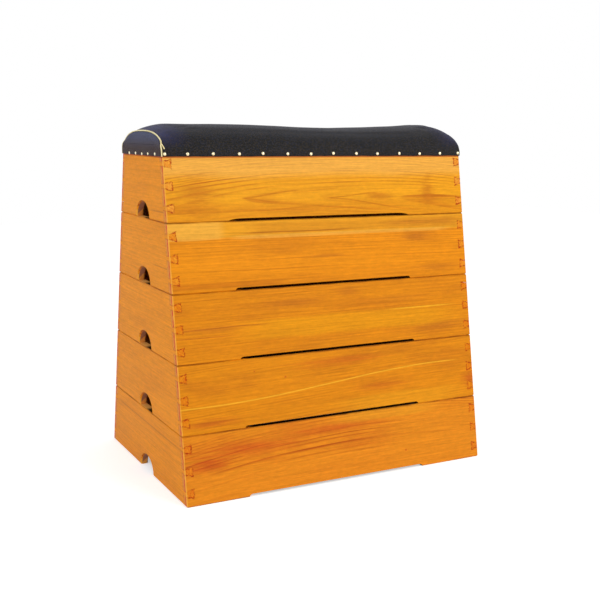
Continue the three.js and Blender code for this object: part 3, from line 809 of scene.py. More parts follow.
def piping_cloth():
    """Cream piping: cord in a smooth coated strip, yellowed with age. The cord's lay shows through
    faintly, as a ridge about every 2 mm."""
    material, tree = new_material("cream piping")
    place = place_on_box(tree)
    strip = add(tree, PLACE, out="UV")
    length, around = (add(tree, SPLIT, {0: strip}, out=axis) for axis in "XY")
    turns = add(tree, MATH, {0: length, 1: 0.45 / MM, 2: around}, operation="MULTIPLY_ADD")
    turns = add(tree, MATH, {0: turns, 1: 2 * math.pi}, operation="MULTIPLY")
    ridge = add(tree, MATH, {0: turns}, operation="SINE")
    soil = add(tree, NOISE, {"Vector": place, "Scale": 0.09, "Detail": 3.0})
    soil = add(tree, RANGE, {"Value": soil, 1: 0.4, 2: 0.68, 3: 0.0, 4: 0.7})
    shade = add(tree, MIX, {0: soil, 6: colour("#f4e9b8"), 7: colour("#dcc477")}, out=2, data_type="RGBA")
    bump = add(tree, "ShaderNodeBump", {"Strength": 0.3, "Distance": 0.2 * MM, "Height": ridge},
               out="Normal")
    finish_surface(tree, {
        "Base Color": shade, "Roughness": 0.5, "Normal": bump, "Specular IOR Level": 0.35,
    })
    return material


def foam_stuff():
    """Yellowed open-cell foam: matt, with pores about 2 mm wide."""
    material, tree = new_material("open-cell foam")
    place = place_on_box(tree)
    cells = add(tree, "ShaderNodeTexVoronoi", {"Vector": place, "Scale": 0.5}, out="Distance")
    # The pores are painted darker: painted shade in the hollows of the cells.
    pore = add(tree, RANGE, {"Value": cells, 1: 0.1, 2: 0.5, 3: 1.0, 4: 0.0})
    shade = add(tree, MIX, {0: pore, 6: colour("#e6dca6"), 7: colour("#a8975a")}, out=2, data_type="RGBA")
    bump = add(tree, "ShaderNodeBump", {"Strength": 0.6, "Distance": 0.8 * MM, "Height": cells},
               out="Normal")
    finish_surface(tree, {
        "Base Color": shade, "Roughness": 0.95, "Normal": bump, "Specular IOR Level": 0.1,
    })
    return material


def nail_metal():
    """Pressed brass nail heads, pale and bright, with patches of tarnish."""
    material, tree = new_material("brass nail heads")
    place = place_on_box(tree)
    tarnish = add(tree, NOISE, {"Vector": place, "Scale": 0.6, "Detail": 3.0})
    tarnish = add(tree, RANGE, {"Value": tarnish, 1: 0.42, 2: 0.66, 3: 0.0, 4: 0.8})
    shade = add(tree, MIX, {0: tarnish, 6: colour("#f4eccb"), 7: colour("#c9b27c")},
                out=2, data_type="RGBA")
    rough = add(tree, RANGE, {"Value": tarnish, 1: 0.0, 2: 1.0, 3: 0.18, 4: 0.36})
    finish_surface(tree, {"Base Color": shade, "Metallic": 1.0, "Roughness": rough})
    return material


def screw_metal():
    """Zinc-plated steel: grey, slightly yellow, dulled by handling."""
    material, tree = new_material("zinc plated steel")
    place = place_on_box(tree)
    dull = add(tree, NOISE, {"Vector": place, "Scale": 0.8, "Detail": 3.0})
    shade = add(tree, MIX, {0: dull, 6: colour("#c9c6ba"), 7: colour("#8f8b7c")}, out=2, data_type="RGBA")
    rough = add(tree, RANGE, {"Value": dull, 1: 0.2, 2: 0.8, 3: 0.3, 4: 0.5})
    finish_surface(tree, {"Base Color": shade, "Metallic": 1.0, "Roughness": rough})
    return material


# The padded top

def crown_at(x):
    """The pad's height over the hem at x: lower at the ends, highest at the shoulders, sat in between."""
    from_end = max(0, HALF_LENGTH - abs(x))
    shoulder = 1 - (1 - min(1, from_end / SHOULDER_RUN)) ** SHOULDER_POWER
    full_height = (LEFT_CROWN + RIGHT_CROWN) / 2 + (RIGHT_CROWN - LEFT_CROWN) / 2 * x / HALF_LENGTH
    from_sag = min(1, abs(x - SAG_SHIFT) / (HALF_LENGTH - SAG_SHIFT))
    sag = MIDDLE_SAG * math.cos(math.pi / 2 * from_sag) ** 2
    return END_CROWN + (full_height - END_CROWN) * shoulder - sag + right_fill(x)


def right_fill(x):
    """How much fuller the pad is stuffed towards its right end."""
    from_end = max(0, HALF_LENGTH - x)
    return RIGHT_FILL * max(0, 1 - from_end / FILL_FADE) ** 1.5


def side_at(x, rise, inset=0):
    """Half the cover's width at x and at a height over the hem."""
    share = min(1, max(0, rise) / (crown_at(x) - inset))
    return (COVER_HALF - inset) * (1 - share ** CROWN_POWER) ** (1 / CROWN_POWER)


def seam_lean(x, z):
    """How far the seam at the nearer end draws a point inwards along the box."""
    from_end = max(0, HALF_LENGTH - abs(x))
    share = min(1, max(0, (z - HEM - LEAN_START) / LEAN_REACH))
    fade = max(0, 1 - from_end / LEAN_FADE) ** 2
    most = LEFT_LEAN if x < 0 else RIGHT_LEAN
    return -math.copysign(most * fade * share * share * (3 - 2 * share), x)


def tuck(x, y, z):
    """How far the seam at the left end's back corner is drawn in across the box."""
    if x > 0 or y < 0:
        return 0
    share = min(1, max(0, (z - HEM) / TUCK_REACH))
    return TUCK * (1 - share * share * (3 - 2 * share))


def arch(x, inset, count):
    """Points (y, z) at even steps round the pad at x, from the front hem over the top to the back hem."""
    wide, high = COVER_HALF - inset, crown_at(x) - inset
    power, fine_steps = 2 / CROWN_POWER, 400
    fine = []
    for i in range(fine_steps + 1):
        angle = math.pi * (1 - i / fine_steps)
        across, up = math.cos(angle), max(0, math.sin(angle))
        fine.append(Vector((math.copysign(abs(across) ** power, across) * wide, HEM + up ** power * high)))
    lengths = [0]
    for a, b in zip(fine, fine[1:]):
        lengths.append(lengths[-1] + (b - a).length)
    points, place = [], 0
    for i in range(count):
        target = lengths[-1] * i / (count - 1)
        while place < len(fine) - 2 and lengths[place + 1] < target:
            place += 1
        share = (target - lengths[place]) / (lengths[place + 1] - lengths[place])
        points.append(fine[place].lerp(fine[place + 1], min(1, share)))
    return points, lengths[-1]


def mesh_piece(name, points, faces, uvs=None):
    """A piece from points in millimetres, with a UV map in metres if uvs gives each point's place."""
    mesh = bpy.data.meshes.new(name)
    mesh.from_pydata([[c * MM for c in p] for p in points], [], faces)
    if uvs:
        layer = mesh.uv_layers.new(name="cloth")
        for loop in mesh.loops:
            layer.data[loop.index].uv = [c * MM for c in uvs[loop.vertex_index]]
    mesh.update()
    piece = bpy.data.objects.new(name, mesh)
    bpy.context.scene.collection.objects.link(piece)
    return piece


def apply_modifiers(piece):
    """Bakes what a piece's modifiers do into its mesh."""
    graph = bpy.context.evaluated_depsgraph_get()
    mesh = bpy.data.meshes.new_from_object(piece.evaluated_get(graph))
    piece.modifiers.clear()
    old, piece.data = piece.data, mesh
    bpy.data.meshes.remove(old)


def swell(piece, held, out):
    """Lets the foam push the cloth out: a short pressure simulation. held gives how firmly each point
    is nailed or sewn down, from 0 to 1, and out how far it may move out. It may hardly slip in or
    sideways, since the foam stands behind the cloth."""
    start = [(v.co.copy(), v.normal.copy()) for v in piece.data.vertices]
    group = piece.vertex_groups.new(name="held")
    for index, weight in enumerate(held):
        if weight > 0:
            group.add([index], weight, "REPLACE")
    cloth = piece.modifiers.new("swell", "CLOTH")
    settings = cloth.settings
    settings.vertex_group_mass = "held"
    settings.quality = 6
    settings.mass = 0.3
    settings.tension_stiffness = settings.compression_stiffness = 25
    settings.shear_stiffness = 15
    settings.bending_stiffness = 1.5
    settings.use_pressure = True
    settings.uniform_pressure_force = PRESSURE
    settings.effector_weights.gravity = 0
    for step in range(1, SETTLING_STEPS + 1):
        bpy.context.scene.frame_set(step)
    apply_modifiers(piece)
    bpy.context.scene.frame_set(1)
    for vertex, (old, outward), most in zip(piece.data.vertices, start, out):
        move = vertex.co - old
        swollen = move.dot(outward)
        sideways = move - outward * swollen
        if sideways.length > CLOTH_SLIP * MM:
            sideways *= CLOTH_SLIP * MM / sideways.length
        vertex.co = old + outward * max(-CLOTH_SLIP * MM, min(most * MM, swollen)) + sideways
    piece.vertex_groups.clear()


def spread_nails(reach, count, shift=0):
    """The places of a row of nails, set by eye."""
    return [shift + reach * (2 * i / (count - 1) - 1) + random.uniform(-NAIL_STRAY, NAIL_STRAY)
            for i in range(count)]


LONG_NAIL_PLACES = [-CORNER_NAIL, *spread_nails(LONG_NAILS_REACH, LONG_NAILS), CORNER_NAIL]
END_NAIL_PLACES = spread_nails(END_NAILS_REACH, END_NAILS, -END_NAILS_SHIFT)


def nail_hold(place, rise, nails, nail_rise):
    """How firmly the hem is held at a place along it: fully at a nail, and partly between two."""
    beside_nail, between, hem_height = 1.5, 0.7, 12
    near = min(math.hypot(place - n, rise - nail_rise) for n in nails)
    if near < NAIL_RADIUS + beside_nail:
        return 1.0
    return max(0.0, between * (1 - rise / hem_height))


def make_main_cover(cloth):
    """The panel from the front hem over the top to the back hem. It starts a little slack and the
    foam fills it. At its ends it turns down into the seam beside the piping."""
    stations, steps = 132, 62
    crowding = math.pi / 2 * 0.97  # the stations lie closer together towards the ends
    slack, slack_reach, seam_dip, seam_width = 0.9, 25, 1.3, 5
    unevenness, lump, lump_reach = 0.9, 75, 30
    stitch_hold, stitch_reach, nailed_height = 0.8, 8, 14
    points, uvs, held, lengths = [], [], [], []
    for i in range(stations + 1):
        x = COVER_END * math.sin((2 * i / stations - 1) * crowding) / math.sin(crowding)
        from_seam = COVER_END - abs(x)
        close = max(0, 1 - from_seam / seam_width)
        dip = (seam_dip if x < 0 else ROLL_TURN) * close ** 2
        inset = slack * min(1, from_seam / slack_reach) ** 0.5 + dip
        if x > 0:
            x += ROLL_OUT * close
        outline, length = arch(x, inset, steps + 1)
        lengths.append(length)
        for j, (y, z) in enumerate(outline):
            rise = z - HEM
            uneven = unevenness * noise.noise(Vector((x / lump, y / lump, 2.5))) * rise / crown_at(x)
            drawn = tuck(x, y, z)
            rolled = x + seam_lean(x, z) - ROLL_OUT * close * drawn / TUCK
            points.append((rolled, y - drawn * close ** 2, z + uneven * min(1, from_seam / lump_reach)))
            uvs.append((x, length * (j / steps - 0.5)))
            sewn = 1.0 if i in (0, stations) else max(0, stitch_hold - from_seam / stitch_reach)
            nailed = nail_hold(x, rise, LONG_NAIL_PLACES, NAIL_RISE) if rise < nailed_height else 0
            held.append(max(sewn, nailed))
    wide = steps + 1
    faces = [(i * wide + j, (i + 1) * wide + j, (i + 1) * wide + j + 1, i * wide + j + 1)
             for i in range(stations) for j in range(steps)]
    piece = mesh_piece("cover_main_cloth", points, faces, uvs)
    swell(piece, held, [MAIN_SWELL] * len(held))
    press_hem(piece, LONG_NAIL_PLACES, 0, NAIL_RISE)
    thicken(piece)
    finish_cloth(piece, cloth, "cover_main_panel")


def press_hem(piece, nails, axis, nail_rise):
    """The turned hem lies a little proud, the nails press it in, and small folds run up between them."""
    reach, corner_fade = 40, 12
    turn, hem_top, turn_fade = 0.9, 11.0, 2.5
    press, press_reach = 1.3, 7
    fold_depth, fold_width, fold_height, fold_from, fold_fade = 0.5, 9, 45, 4, 14
    waver, waver_length, edge = 0.7, 24, 3
    for vertex in piece.data.vertices:
        place = vertex.co / MM
        rise = place.z - HEM
        if rise > reach:
            continue
        long_side = Vector((0, math.copysign(1, place.y), LEAN))
        outward = long_side if axis == 0 else Vector((math.copysign(1, place.x), 0, 0))
        near = min(math.hypot(place[axis] - n, rise - nail_rise) for n in nails)
        from_corner = COVER_HALF - END_PANEL_INSET - abs(place.y)
        loose = 1 if axis == 0 else max(0, min(1, from_corner / corner_fade))
        proud = turn * (1 - min(1, max(0, (rise - hem_top) / turn_fade)))
        pressed = press * math.exp(-(near / press_reach) ** 2)
        fold = fold_depth * noise.noise(Vector((place[axis] / fold_width, rise / fold_height, 3 + axis)))
        fold *= math.exp(-max(0, rise - fold_from) / fold_fade)
        vertex.co += outward * (proud - pressed + fold) * loose * MM
        if rise < edge:
            vertex.co.z += waver * noise.noise(Vector((place[axis] / waver_length, 7.7, axis))) * MM


def thicken(piece):
    """Gives the cloth its thickness inwards, and one level of smoothing."""
    wall = piece.modifiers.new("wall", "SOLIDIFY")
    wall.thickness = COVER_THICKNESS * MM
    wall.offset = -1
    smooth = piece.modifiers.new("smooth", "SUBSURF")
    smooth.levels = smooth.render_levels = 1
    apply_modifiers(piece)


def finish_cloth(piece, material, node):
    """Puts a finished cloth in its panel's place."""
    piece.data.materials.clear()
    piece.data.materials.append(material)
    piece.data.shade_smooth()
    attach(piece, "tier_1")
    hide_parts(node)


def make_end_cover(side, name, cloth):
    """A D-shaped end panel, sewn to the piping round its arch and nailed along its hem."""
    around, rings, hem_steps = 70, 12, 34
    core_reach, core_height = 96, HEM + 24
    bulge_from, bulge_reach, swell_margin, tuck_power = 4, 16, 0.25, 4
    stitch_hold, stitch_fade, hem_hold, hem_rise, nailed_height = 0.7, 3, 0.6, 2, 12
    inset = END_PANEL_INSET if side < 0 else ROLLED_SINK + PIPING_RADIUS + COVER_GAP
    outline, _ = arch(side * HALF_LENGTH, inset, around)
    wide, full = COVER_HALF - inset, crown_at(side * HALF_LENGTH) - inset

    def from_seam(y, rise):
        """0 at the seam and 1 in the middle of the hem."""
        return max(0, 1 - (abs(y) / wide) ** CROWN_POWER - (max(0, rise) / full) ** CROWN_POWER)

    first, last = outline[0], outline[-1]
    hem = [last.lerp(first, i / hem_steps) for i in range(1, hem_steps)]
    border = [*outline, *hem]
    points, uvs, held = [], [], []
    base = HALF_LENGTH + COVER_GAP + COVER_THICKNESS
    for ring in range(rings + 1):
        share = ring / rings
        for point in border:
            core = Vector((max(-core_reach, min(core_reach, point.x)), core_height))
            y, z = point.lerp(core, share)
            rise = z - HEM
            lap = min(1, max(0, rise - bulge_from) / bulge_reach)
            bulge = END_BULGE * lap * lap * (3 - 2 * lap) * from_seam(y, rise)
            y -= tuck(side, y, z) * (y / wide) ** tuck_power
            points.append((side * (base + bulge) + seam_lean(side * HALF_LENGTH, z), y, z))
            uvs.append((y, z))
            sewn = 1.0 if ring == 0 else max(0, stitch_hold - share * stitch_fade)
            nailed = nail_hold(y, rise, END_NAIL_PLACES, END_NAIL_RISE) if rise < nailed_height else 0
            held.append(max(sewn if rise > hem_rise else hem_hold, nailed))
    count = len(border)
    faces = []
    for ring in range(rings):
        for i in range(count):
            a, b = ring * count + i, ring * count + (i + 1) % count
            quad = (a, b, b + count, a + count)
            faces.append(quad if side > 0 else quad[::-1])
    piece = mesh_piece(name, points, faces, uvs)
    close_core(piece)
    held = held_again(piece, points, held)
    free = (from_seam(v.co.y / MM, v.co.z / MM - HEM) / swell_margin for v in piece.data.vertices)
    swell(piece, held, [END_SWELL * min(1, share) for share in free])
    press_hem(piece, END_NAIL_PLACES, 1, END_NAIL_RISE)
    thicken(piece)
    node = "cover_left_end_panel" if side < 0 else "cover_right_end_panel"
    finish_cloth(piece, cloth, node)


def close_core(piece):
    """Merges the innermost ring, which has closed up to a line."""
    work = bmesh.new()
    work.from_mesh(piece.data)
    bmesh.ops.remove_doubles(work, verts=work.verts, dist=0.05 * MM)
    work.to_mesh(piece.data)
    work.free()


def held_again(piece, points, held):
    """The hold of each point that is left after merging."""
    by_place = {tuple(round(c, 1) for c in p): h for p, h in zip(points, held)}
    return [by_place.get(tuple(round(c / MM, 1) for c in v.co), 0) for v in piece.data.vertices]


def tube(path, radius, seed):
    """The points, places on the strip and faces of a cord along (point, outward) pairs."""
    sides, length = 12, 0
    waver, waver_steps, unevenness, uneven_steps = 0.25, 9, 0.05, 5
    points, uvs, faces = [], [], []
    for i, (point, outward) in enumerate(path):
        before, after = path[max(0, i - 1)][0], path[min(len(path) - 1, i + 1)][0]
        beside = (after - before).normalized().cross(outward)
        length += (point - before).length
        wobble = waver * noise.noise(Vector((i / waver_steps, seed, 0)))
        thick = radius * (1 + unevenness * noise.noise(Vector((i / uneven_steps, seed, 8))))
        for j in range(sides):
            angle = 2 * math.pi * j / sides
            out, aside = thick * math.cos(angle) + wobble, thick * math.sin(angle)
            points.append(point + outward * out + beside * aside)
            uvs.append((length, j / sides / MM))
            if i < len(path) - 1:
                a, b = i * sides + j, i * sides + (j + 1) % sides
                faces.append((a, b, b + sides, a + sides))
    faces.append(tuple(range(sides)))
    faces.append(tuple(len(points) - sides + j for j in range(sides)))
    return points, uvs, faces


def make_piping(side, name, material, node):
    """The covered cord in the seam, from hem to hem. The strip's loose end shows at the left, where
    it leaves the seam and lies on the front of the cover."""
    steps = 150
    end = side * HALF_LENGTH
    outline, _ = arch(end, PIPING_SINK if side < 0 else ROLLED_SINK, steps + 1)
    path = []
    for i, (y, z) in enumerate(outline):
        tangent = (outline[min(steps, i + 1)] - outline[max(0, i - 1)]).normalized()
        place = Vector((side * PIPING_X + seam_lean(end, z), y - tuck(side, y, z), z))
        path.append((place, Vector((0, -tangent.y, tangent.x))))
    points, uvs, faces = tube(path, PIPING_RADIUS, side * 5)
    if side < 0:
        tail = []
        for i in range(TAIL_STEPS + 1):
            share = i / TAIL_STEPS
            x, rise = -TAIL_FROM[0] + TAIL_RUN * share, TAIL_FROM[1] - TAIL_DROP * share
            tail.append((Vector((x, -side_at(x, rise) - TAIL_LIFT, HEM + rise)), Vector((0, -1, 0))))
        more_points, more_uvs, more_faces = tube(tail, TAIL_RADIUS, 2)
        faces += [tuple(len(points) + index for index in face) for face in more_faces]
        points += more_points
        uvs += more_uvs
    piece = mesh_piece(name, points, faces, uvs)
    work = bmesh.new()
    work.from_mesh(piece.data)
    bmesh.ops.recalc_face_normals(work, faces=work.faces)
    work.to_mesh(piece.data)
    work.free()
    piece.data.materials.append(material)
    piece.data.shade_smooth()
    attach(piece, "tier_1")
    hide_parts(node)


def make_foam(material):
    """The foam block on the deck, inside the cover. It is the pad's solid with its edges softened, its
    ends drawn back from the cloth and its right end stuffed fuller."""
    voxel, rounds = 5, 4
    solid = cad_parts["foam_pad"]
    piece = bpy.data.objects.new("foam_block", solid.data.copy())
    bpy.context.scene.collection.objects.link(piece)
    work = bmesh.new()
    work.from_mesh(piece.data)
    bmesh.ops.remove_doubles(work, verts=work.verts, dist=0.01 * MM)
    work.to_mesh(piece.data)
    work.free()
    remesh = piece.modifiers.new("remesh", "REMESH")
    remesh.mode = "VOXEL"
    remesh.voxel_size = voxel * MM
    soften = piece.modifiers.new("soften", "SMOOTH")
    soften.iterations = rounds
    apply_modifiers(piece)
    for vertex in piece.data.vertices:
        x, _, z = vertex.co / MM
        past_end = max(0, abs(x) - HALF_LENGTH)
        vertex.co.x += (seam_lean(x, z) - math.copysign(FOAM_EASE * past_end, x)) * MM
        vertex.co.z += right_fill(x) * max(0, z - HEM) / crown_at(x) * MM
    piece.data.materials.clear()
    piece.data.materials.append(material)
    piece.data.shade_smooth()
    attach(piece, "tier_1")
    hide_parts("foam_pad")


# Nails and screws, which Geometry Nodes set on their marks

MARK = "outward"


def marks(name, places):
    """Loose points with the direction in which each head faces."""
    mesh = bpy.data.meshes.new(name)
    mesh.from_pydata([[c * MM for c in place] for place, _ in places], [], [])
    layer = mesh.attributes.new(MARK, "FLOAT_VECTOR", "POINT")
    for i, (_, outward) in enumerate(places):
        layer.data[i].vector = Vector(outward).normalized()
    piece = bpy.data.objects.new(name, mesh)
    bpy.context.scene.collection.objects.link(piece)
    return piece


def new_tree(name, sizes):
    """A Geometry Nodes tree with a mesh going in and out and a named input for each size."""
    tree = bpy.data.node_groups.new(name, "GeometryNodeTree")
    tree.interface.new_socket("Geometry", in_out="INPUT", socket_type="NodeSocketGeometry")
    tree.interface.new_socket("Geometry", in_out="OUTPUT", socket_type="NodeSocketGeometry")
    for size in sizes:
        kind = "NodeSocketInt" if size == "Seed" else "NodeSocketFloat"
        tree.interface.new_socket(size, in_out="INPUT", socket_type=kind)
    tree.interface.new_socket("Finish", in_out="INPUT", socket_type="NodeSocketMaterial")
    return tree, tree.nodes.new("NodeGroupInput").outputs


def set_on_marks(tree, given, head):
    """Puts a head on every mark, turned outwards and slightly unevenly, and closes the tree."""
    tilt = 0.06
    outward = add(tree, "GeometryNodeInputNamedAttribute", {"Name": MARK},
                  out="Attribute", data_type="FLOAT_VECTOR")
    uneven = add(tree, "FunctionNodeRandomValue",
                 {"Min": (-tilt,) * 3, "Max": (tilt,) * 3, "Seed": given["Seed"]}, data_type="FLOAT_VECTOR")
    outward = add(tree, VECTOR, {0: outward, 1: uneven}, operation="ADD")
    turn = add(tree, "FunctionNodeAlignRotationToVector", {"Vector": outward}, axis="Z")
    spin = add(tree, "FunctionNodeRandomValue", {2: 0.0, 3: math.pi, "Seed": given["Seed"]},
               out=1, data_type="FLOAT")
    spin = add(tree, "ShaderNodeCombineXYZ", {"Z": spin})
    turn = add(tree, "FunctionNodeRotateRotation", {"Rotation": turn, "Rotate By": spin},
               rotation_space="LOCAL")
    heads = add(tree, "GeometryNodeInstanceOnPoints",
                {"Points": given["Geometry"], "Instance": head, "Rotation": turn})
    real = add(tree, "GeometryNodeRealizeInstances", {"Geometry": heads})
    dressed = add(tree, "GeometryNodeSetMaterial", {"Geometry": real, "Material": given["Finish"]})
    tree.links.new(dressed, tree.nodes.new("NodeGroupOutput").inputs["Geometry"])


def nail_tree():
    """A domed head with a rolled rim."""
    tree, given = new_tree("nail_heads", ("Head radius", "Head height", "Seed"))
    rim_depth = 0.25
    ball = add(tree, "GeometryNodeMeshUVSphere",
               {"Segments": 20, "Rings": 12, "Radius": given["Head radius"]})
    flat = add(tree, MATH, {0: given["Head height"], 1: given["Head radius"]}, operation="DIVIDE")
    squash = add(tree, "ShaderNodeCombineXYZ", {"X": 1.0, "Y": 1.0, "Z": flat})
    dome = add(tree, "GeometryNodeTransform", {"Geometry": ball, "Scale": squash})
    position = add(tree, "GeometryNodeInputPosition")
    x, y, low = (add(tree, SPLIT, {0: position}, out=axis) for axis in "XYZ")
    low = add(tree, MATH, {0: low, 1: -rim_depth * MM}, operation="MAXIMUM")
    held = add(tree, "ShaderNodeCombineXYZ", {"X": x, "Y": y, "Z": low})
    dome = add(tree, "GeometryNodeSetPosition", {"Geometry": dome, "Position": held})
    set_on_marks(tree, given, dome)
    return tree


def screw_tree():
    """A countersunk head with a straight slot."""
    tree, given = new_tree("screw_heads", ("Head radius", "Slot width", "Seed"))
    bar_length, bar_height, bar_rise = 3.0, 1.0, 0.9  # the length in head radii
    disc = add(tree, "GeometryNodeMeshCylinder",
               {"Vertices": 20, "Radius": given["Head radius"], "Depth": SCREW_THICKNESS * MM}, out="Mesh")
    long = add(tree, MATH, {0: given["Head radius"], 1: bar_length}, operation="MULTIPLY")
    slot = add(tree, "ShaderNodeCombineXYZ", {"X": long, "Y": given["Slot width"], "Z": bar_height * MM})
    bar = add(tree, "GeometryNodeMeshCube", {"Size": slot}, out="Mesh")
    bar = add(tree, "GeometryNodeTransform", {"Geometry": bar, "Translation": (0, 0, bar_rise * MM)})
    cut = add(tree, "GeometryNodeMeshBoolean", {"Mesh 1": disc, "Mesh 2": bar},
              out="Mesh", operation="DIFFERENCE")
    set_on_marks(tree, given, cut)
    return tree


def grow(piece, tree, values):
    """Runs a tree on its marks and leaves the plain mesh."""
    modifier = piece.modifiers.new("heads", "NODES")
    modifier.node_group = tree
    for item in tree.interface.items_tree:
        if item.in_out == "INPUT" and item.name in values:
            modifier[item.identifier] = values[item.name]
    apply_modifiers(piece)


def make_nails(tree, material):
    """Domed nails along the hem of both long sides and both ends."""
    places = []
    for side in (-1, 1):
        for x in LONG_NAIL_PLACES:
            rise = NAIL_RISE + random.uniform(-LONG_NAIL_STRAY, LONG_NAIL_STRAY)
            y = half_width(HEM + rise) + COVER_GAP + COVER_THICKNESS + NAIL_PROUD
            places.append(((x, side * y, HEM + rise), (0, side, LEAN)))
        for y in END_NAIL_PLACES:
            rise = END_NAIL_RISE + random.uniform(-END_NAIL_STRAY, END_NAIL_STRAY)
            x = HALF_LENGTH + COVER_GAP + COVER_THICKNESS + NAIL_PROUD
            places.append(((side * x, y, HEM + rise), (side, 0, 0)))
    piece = marks("hem_nails", places)
    grow(piece, tree, {"Head radius": NAIL_RADIUS * MM, "Head height": NAIL_HEIGHT * MM, "Seed": 3,
                       "Finish": material})
    piece.data.shade_smooth()
    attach(piece, "tier_1")


def make_screws(tree, material):
    """Two screws through each post into each of its boards, and three up through each bearer."""
    for tier in range(1, TIER_COUNT + 1):
        places = []
        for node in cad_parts:
            if node.startswith(f"tier_{tier}_") and node.endswith("_post"):
                places += post_screws(node, tier)
            if tier == 1 and node.startswith("deck_bearer"):
                low, high = (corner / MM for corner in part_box(node))
                for share in BEARER_SCREWS:
                    y = low.y + (high.y - low.y) * share
                    places.append((((low.x + high.x) / 2, y, low.z - SCREW_PROUD), (0, 0, -1)))
        piece = marks(f"tier_{tier}_screws", places)
        grow(piece, tree, {"Head radius": SCREW_RADIUS * MM, "Slot width": SCREW_SLOT * MM, "Seed": tier,
                           "Finish": material})
        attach(piece, f"tier_{tier}")


def post_screws(node, tier):
    """The marks of one post's screws, on its two inner faces."""
    side_x = -1 if "_left_" in node else 1
    side_y = -1 if "_front_" in node else 1
    foot = tier_foot(tier)
    reach = SCREW_REACH * (tier_height(tier) - SCREW_HEADROOM)
    outer_x = HALF_LENGTH - BOARD - JOINT_GAP
    found = []
    for share in POST_SCREWS:
        z = foot + reach * share
        y = half_width(z) - WALL - JOINT_GAP - POST_SIZE / 2
        found.append(((side_x * (outer_x - POST_SIZE - SCREW_PROUD), side_y * y, z), (-side_x, 0, 0)))
        z += SCREW_STEP
        y = half_width(z) - WALL - JOINT_GAP - POST_SIZE - SCREW_PROUD
        found.append(((side_x * (outer_x - POST_SIZE / 2), side_y * y, z), (0, -side_y, -LEAN)))
    return found


# The studio

CAMERA_PLACE = (-1.0863, -2.1058, 0.8)
CAMERA_YAW = 27.674
CAMERA_PITCH = 10.009
CAMERA_ROLL = 0.636
CAMERA_LENS = 57.954
CAMERA_SENSOR = 36
LAMP_AIM = (0, 0, 0.4)

# The sky's light on things, next to 1 as it is seen, the floor's tone, and what lifts it to white
SKY_LIGHT = 0.66
FLOOR_TONE = 0.86
FLOOR_LIFT = 0.47
FLOOR_REACH = 6000


def make_camera():
    yaw, pitch, roll = (math.radians(a) for a in (CAMERA_YAW, CAMERA_PITCH, CAMERA_ROLL))
    forward = Vector((math.sin(yaw) * math.cos(pitch), math.cos(yaw) * math.cos(pitch), -math.sin(pitch)))
    level = forward.cross(Vector((0, 0, 1))).normalized()
    upright = level.cross(forward)
    right = level * math.cos(roll) + upright * math.sin(roll)
    up = upright * math.cos(roll) - level * math.sin(roll)
    data = bpy.data.cameras.new("camera")
    data.lens = CAMERA_LENS
    data.sensor_width = CAMERA_SENSOR
    camera = bpy.data.objects.new("camera", data)
    facing = Matrix((right, up, -forward)).transposed().to_4x4()
    camera.matrix_world = Matrix.Translation(CAMERA_PLACE) @ facing
    bpy.context.scene.collection.objects.link(camera)
    bpy.context.scene.camera = camera


def make_lamp(name, place, size, watts, tint):
    data = bpy.data.lights.new(name, "AREA")
    data.size = size
    data.energy = watts
    data.color = colour(tint)[:3]
    lamp = bpy.data.objects.new(name, data)
    lamp.location = place
    aim = Vector(LAMP_AIM) - Vector(place)
    lamp.rotation_euler = aim.to_track_quat("-Z", "Y").to_euler()
    bpy.context.scene.collection.objects.link(lamp)


def seen_itself(tree):
    """1 on the way to the eye, also by way of a mirror or through glass, and 0 where light is cast."""
    path = tree.nodes.new("ShaderNodeLightPath").outputs
    seen = add(tree, MATH, {0: path["Is Camera Ray"], 1: path["Is Transmission Ray"]}, operation="MAXIMUM")
    return add(tree, MATH, {0: seen, 1: path["Is Glossy Ray"]}, operation="MAXIMUM")


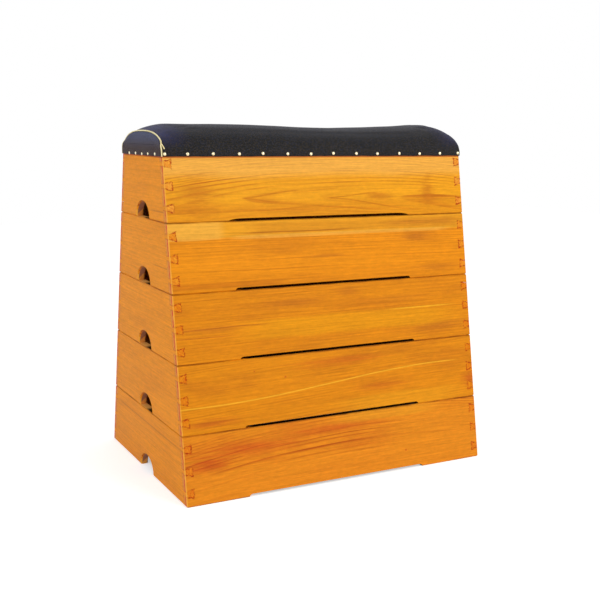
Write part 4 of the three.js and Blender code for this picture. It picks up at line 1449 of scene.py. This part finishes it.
def make_studio():
    """A white floor that keeps the shadow, an even white sky and two soft lamps."""
    world = bpy.data.worlds.new("white sky")
    bpy.context.scene.world = world
    world.use_nodes = True
    tree = world.node_tree
    tree.nodes.clear()
    strength = add(tree, MIX, {0: seen_itself(tree), 2: SKY_LIGHT, 3: 1.0}, data_type="FLOAT")
    sky = add(tree, "ShaderNodeBackground", {"Color": (1, 1, 1, 1), "Strength": strength})
    tree.links.new(sky, tree.nodes.new("ShaderNodeOutputWorld").inputs["Surface"])

    corners = [(x * FLOOR_REACH, y * FLOOR_REACH, 0) for x, y in ((-1, -1), (1, -1), (1, 1), (-1, 1))]
    floor = mesh_piece("floor", corners, [(0, 1, 2, 3)])
    material, tree = new_material("white floor")
    plain = add(tree, "ShaderNodeBsdfDiffuse", {"Color": (*(FLOOR_TONE,) * 3, 1)})
    lift = add(tree, MATH, {0: seen_itself(tree), 1: FLOOR_LIFT}, operation="MULTIPLY")
    glow = add(tree, "ShaderNodeEmission", {"Color": (1, 1, 1, 1), "Strength": lift})
    both = add(tree, "ShaderNodeAddShader", {0: plain, 1: glow})
    tree.links.new(both, tree.nodes.new("ShaderNodeOutputMaterial").inputs["Surface"])
    floor.data.materials.append(material)

    make_lamp("key", (1.4, -3.2, 2.3), 1.6, 54, "#fff6e8")
    make_lamp("left", (-3.0, -0.6, 1.9), 1.6, 25, "#eef2ff")
    bpy.context.scene.view_settings.view_transform = "Standard"


make_camera()
make_studio()
dress_boards()
dress_inner_wood()
main_canvas = cover_cloth(
    "black coated canvas, top", "#0f0f0f", "#1c1b1a", "#121410", "#111410", (0.5, 0.4))
# The ends get a lighter, bluer cloth than the top: painted light, for the light that falls on the end
# panels.
lit_end_canvas = cover_cloth(
    "black coated canvas, ends", "#2d1c11", "#382619", "#2c1002", "#58688a", (0.15, 0.15))
cream = piping_cloth()
make_main_cover(main_canvas)
for hand, word in ((-1, "left"), (1, "right")):
    make_end_cover(hand, f"cover_{word}_end_cloth", lit_end_canvas)
    make_piping(hand, f"{word}_piping_cord", cream, f"{word}_piping")
make_foam(foam_stuff())
make_nails(nail_tree(), nail_metal())
make_screws(screw_tree(), screw_metal())
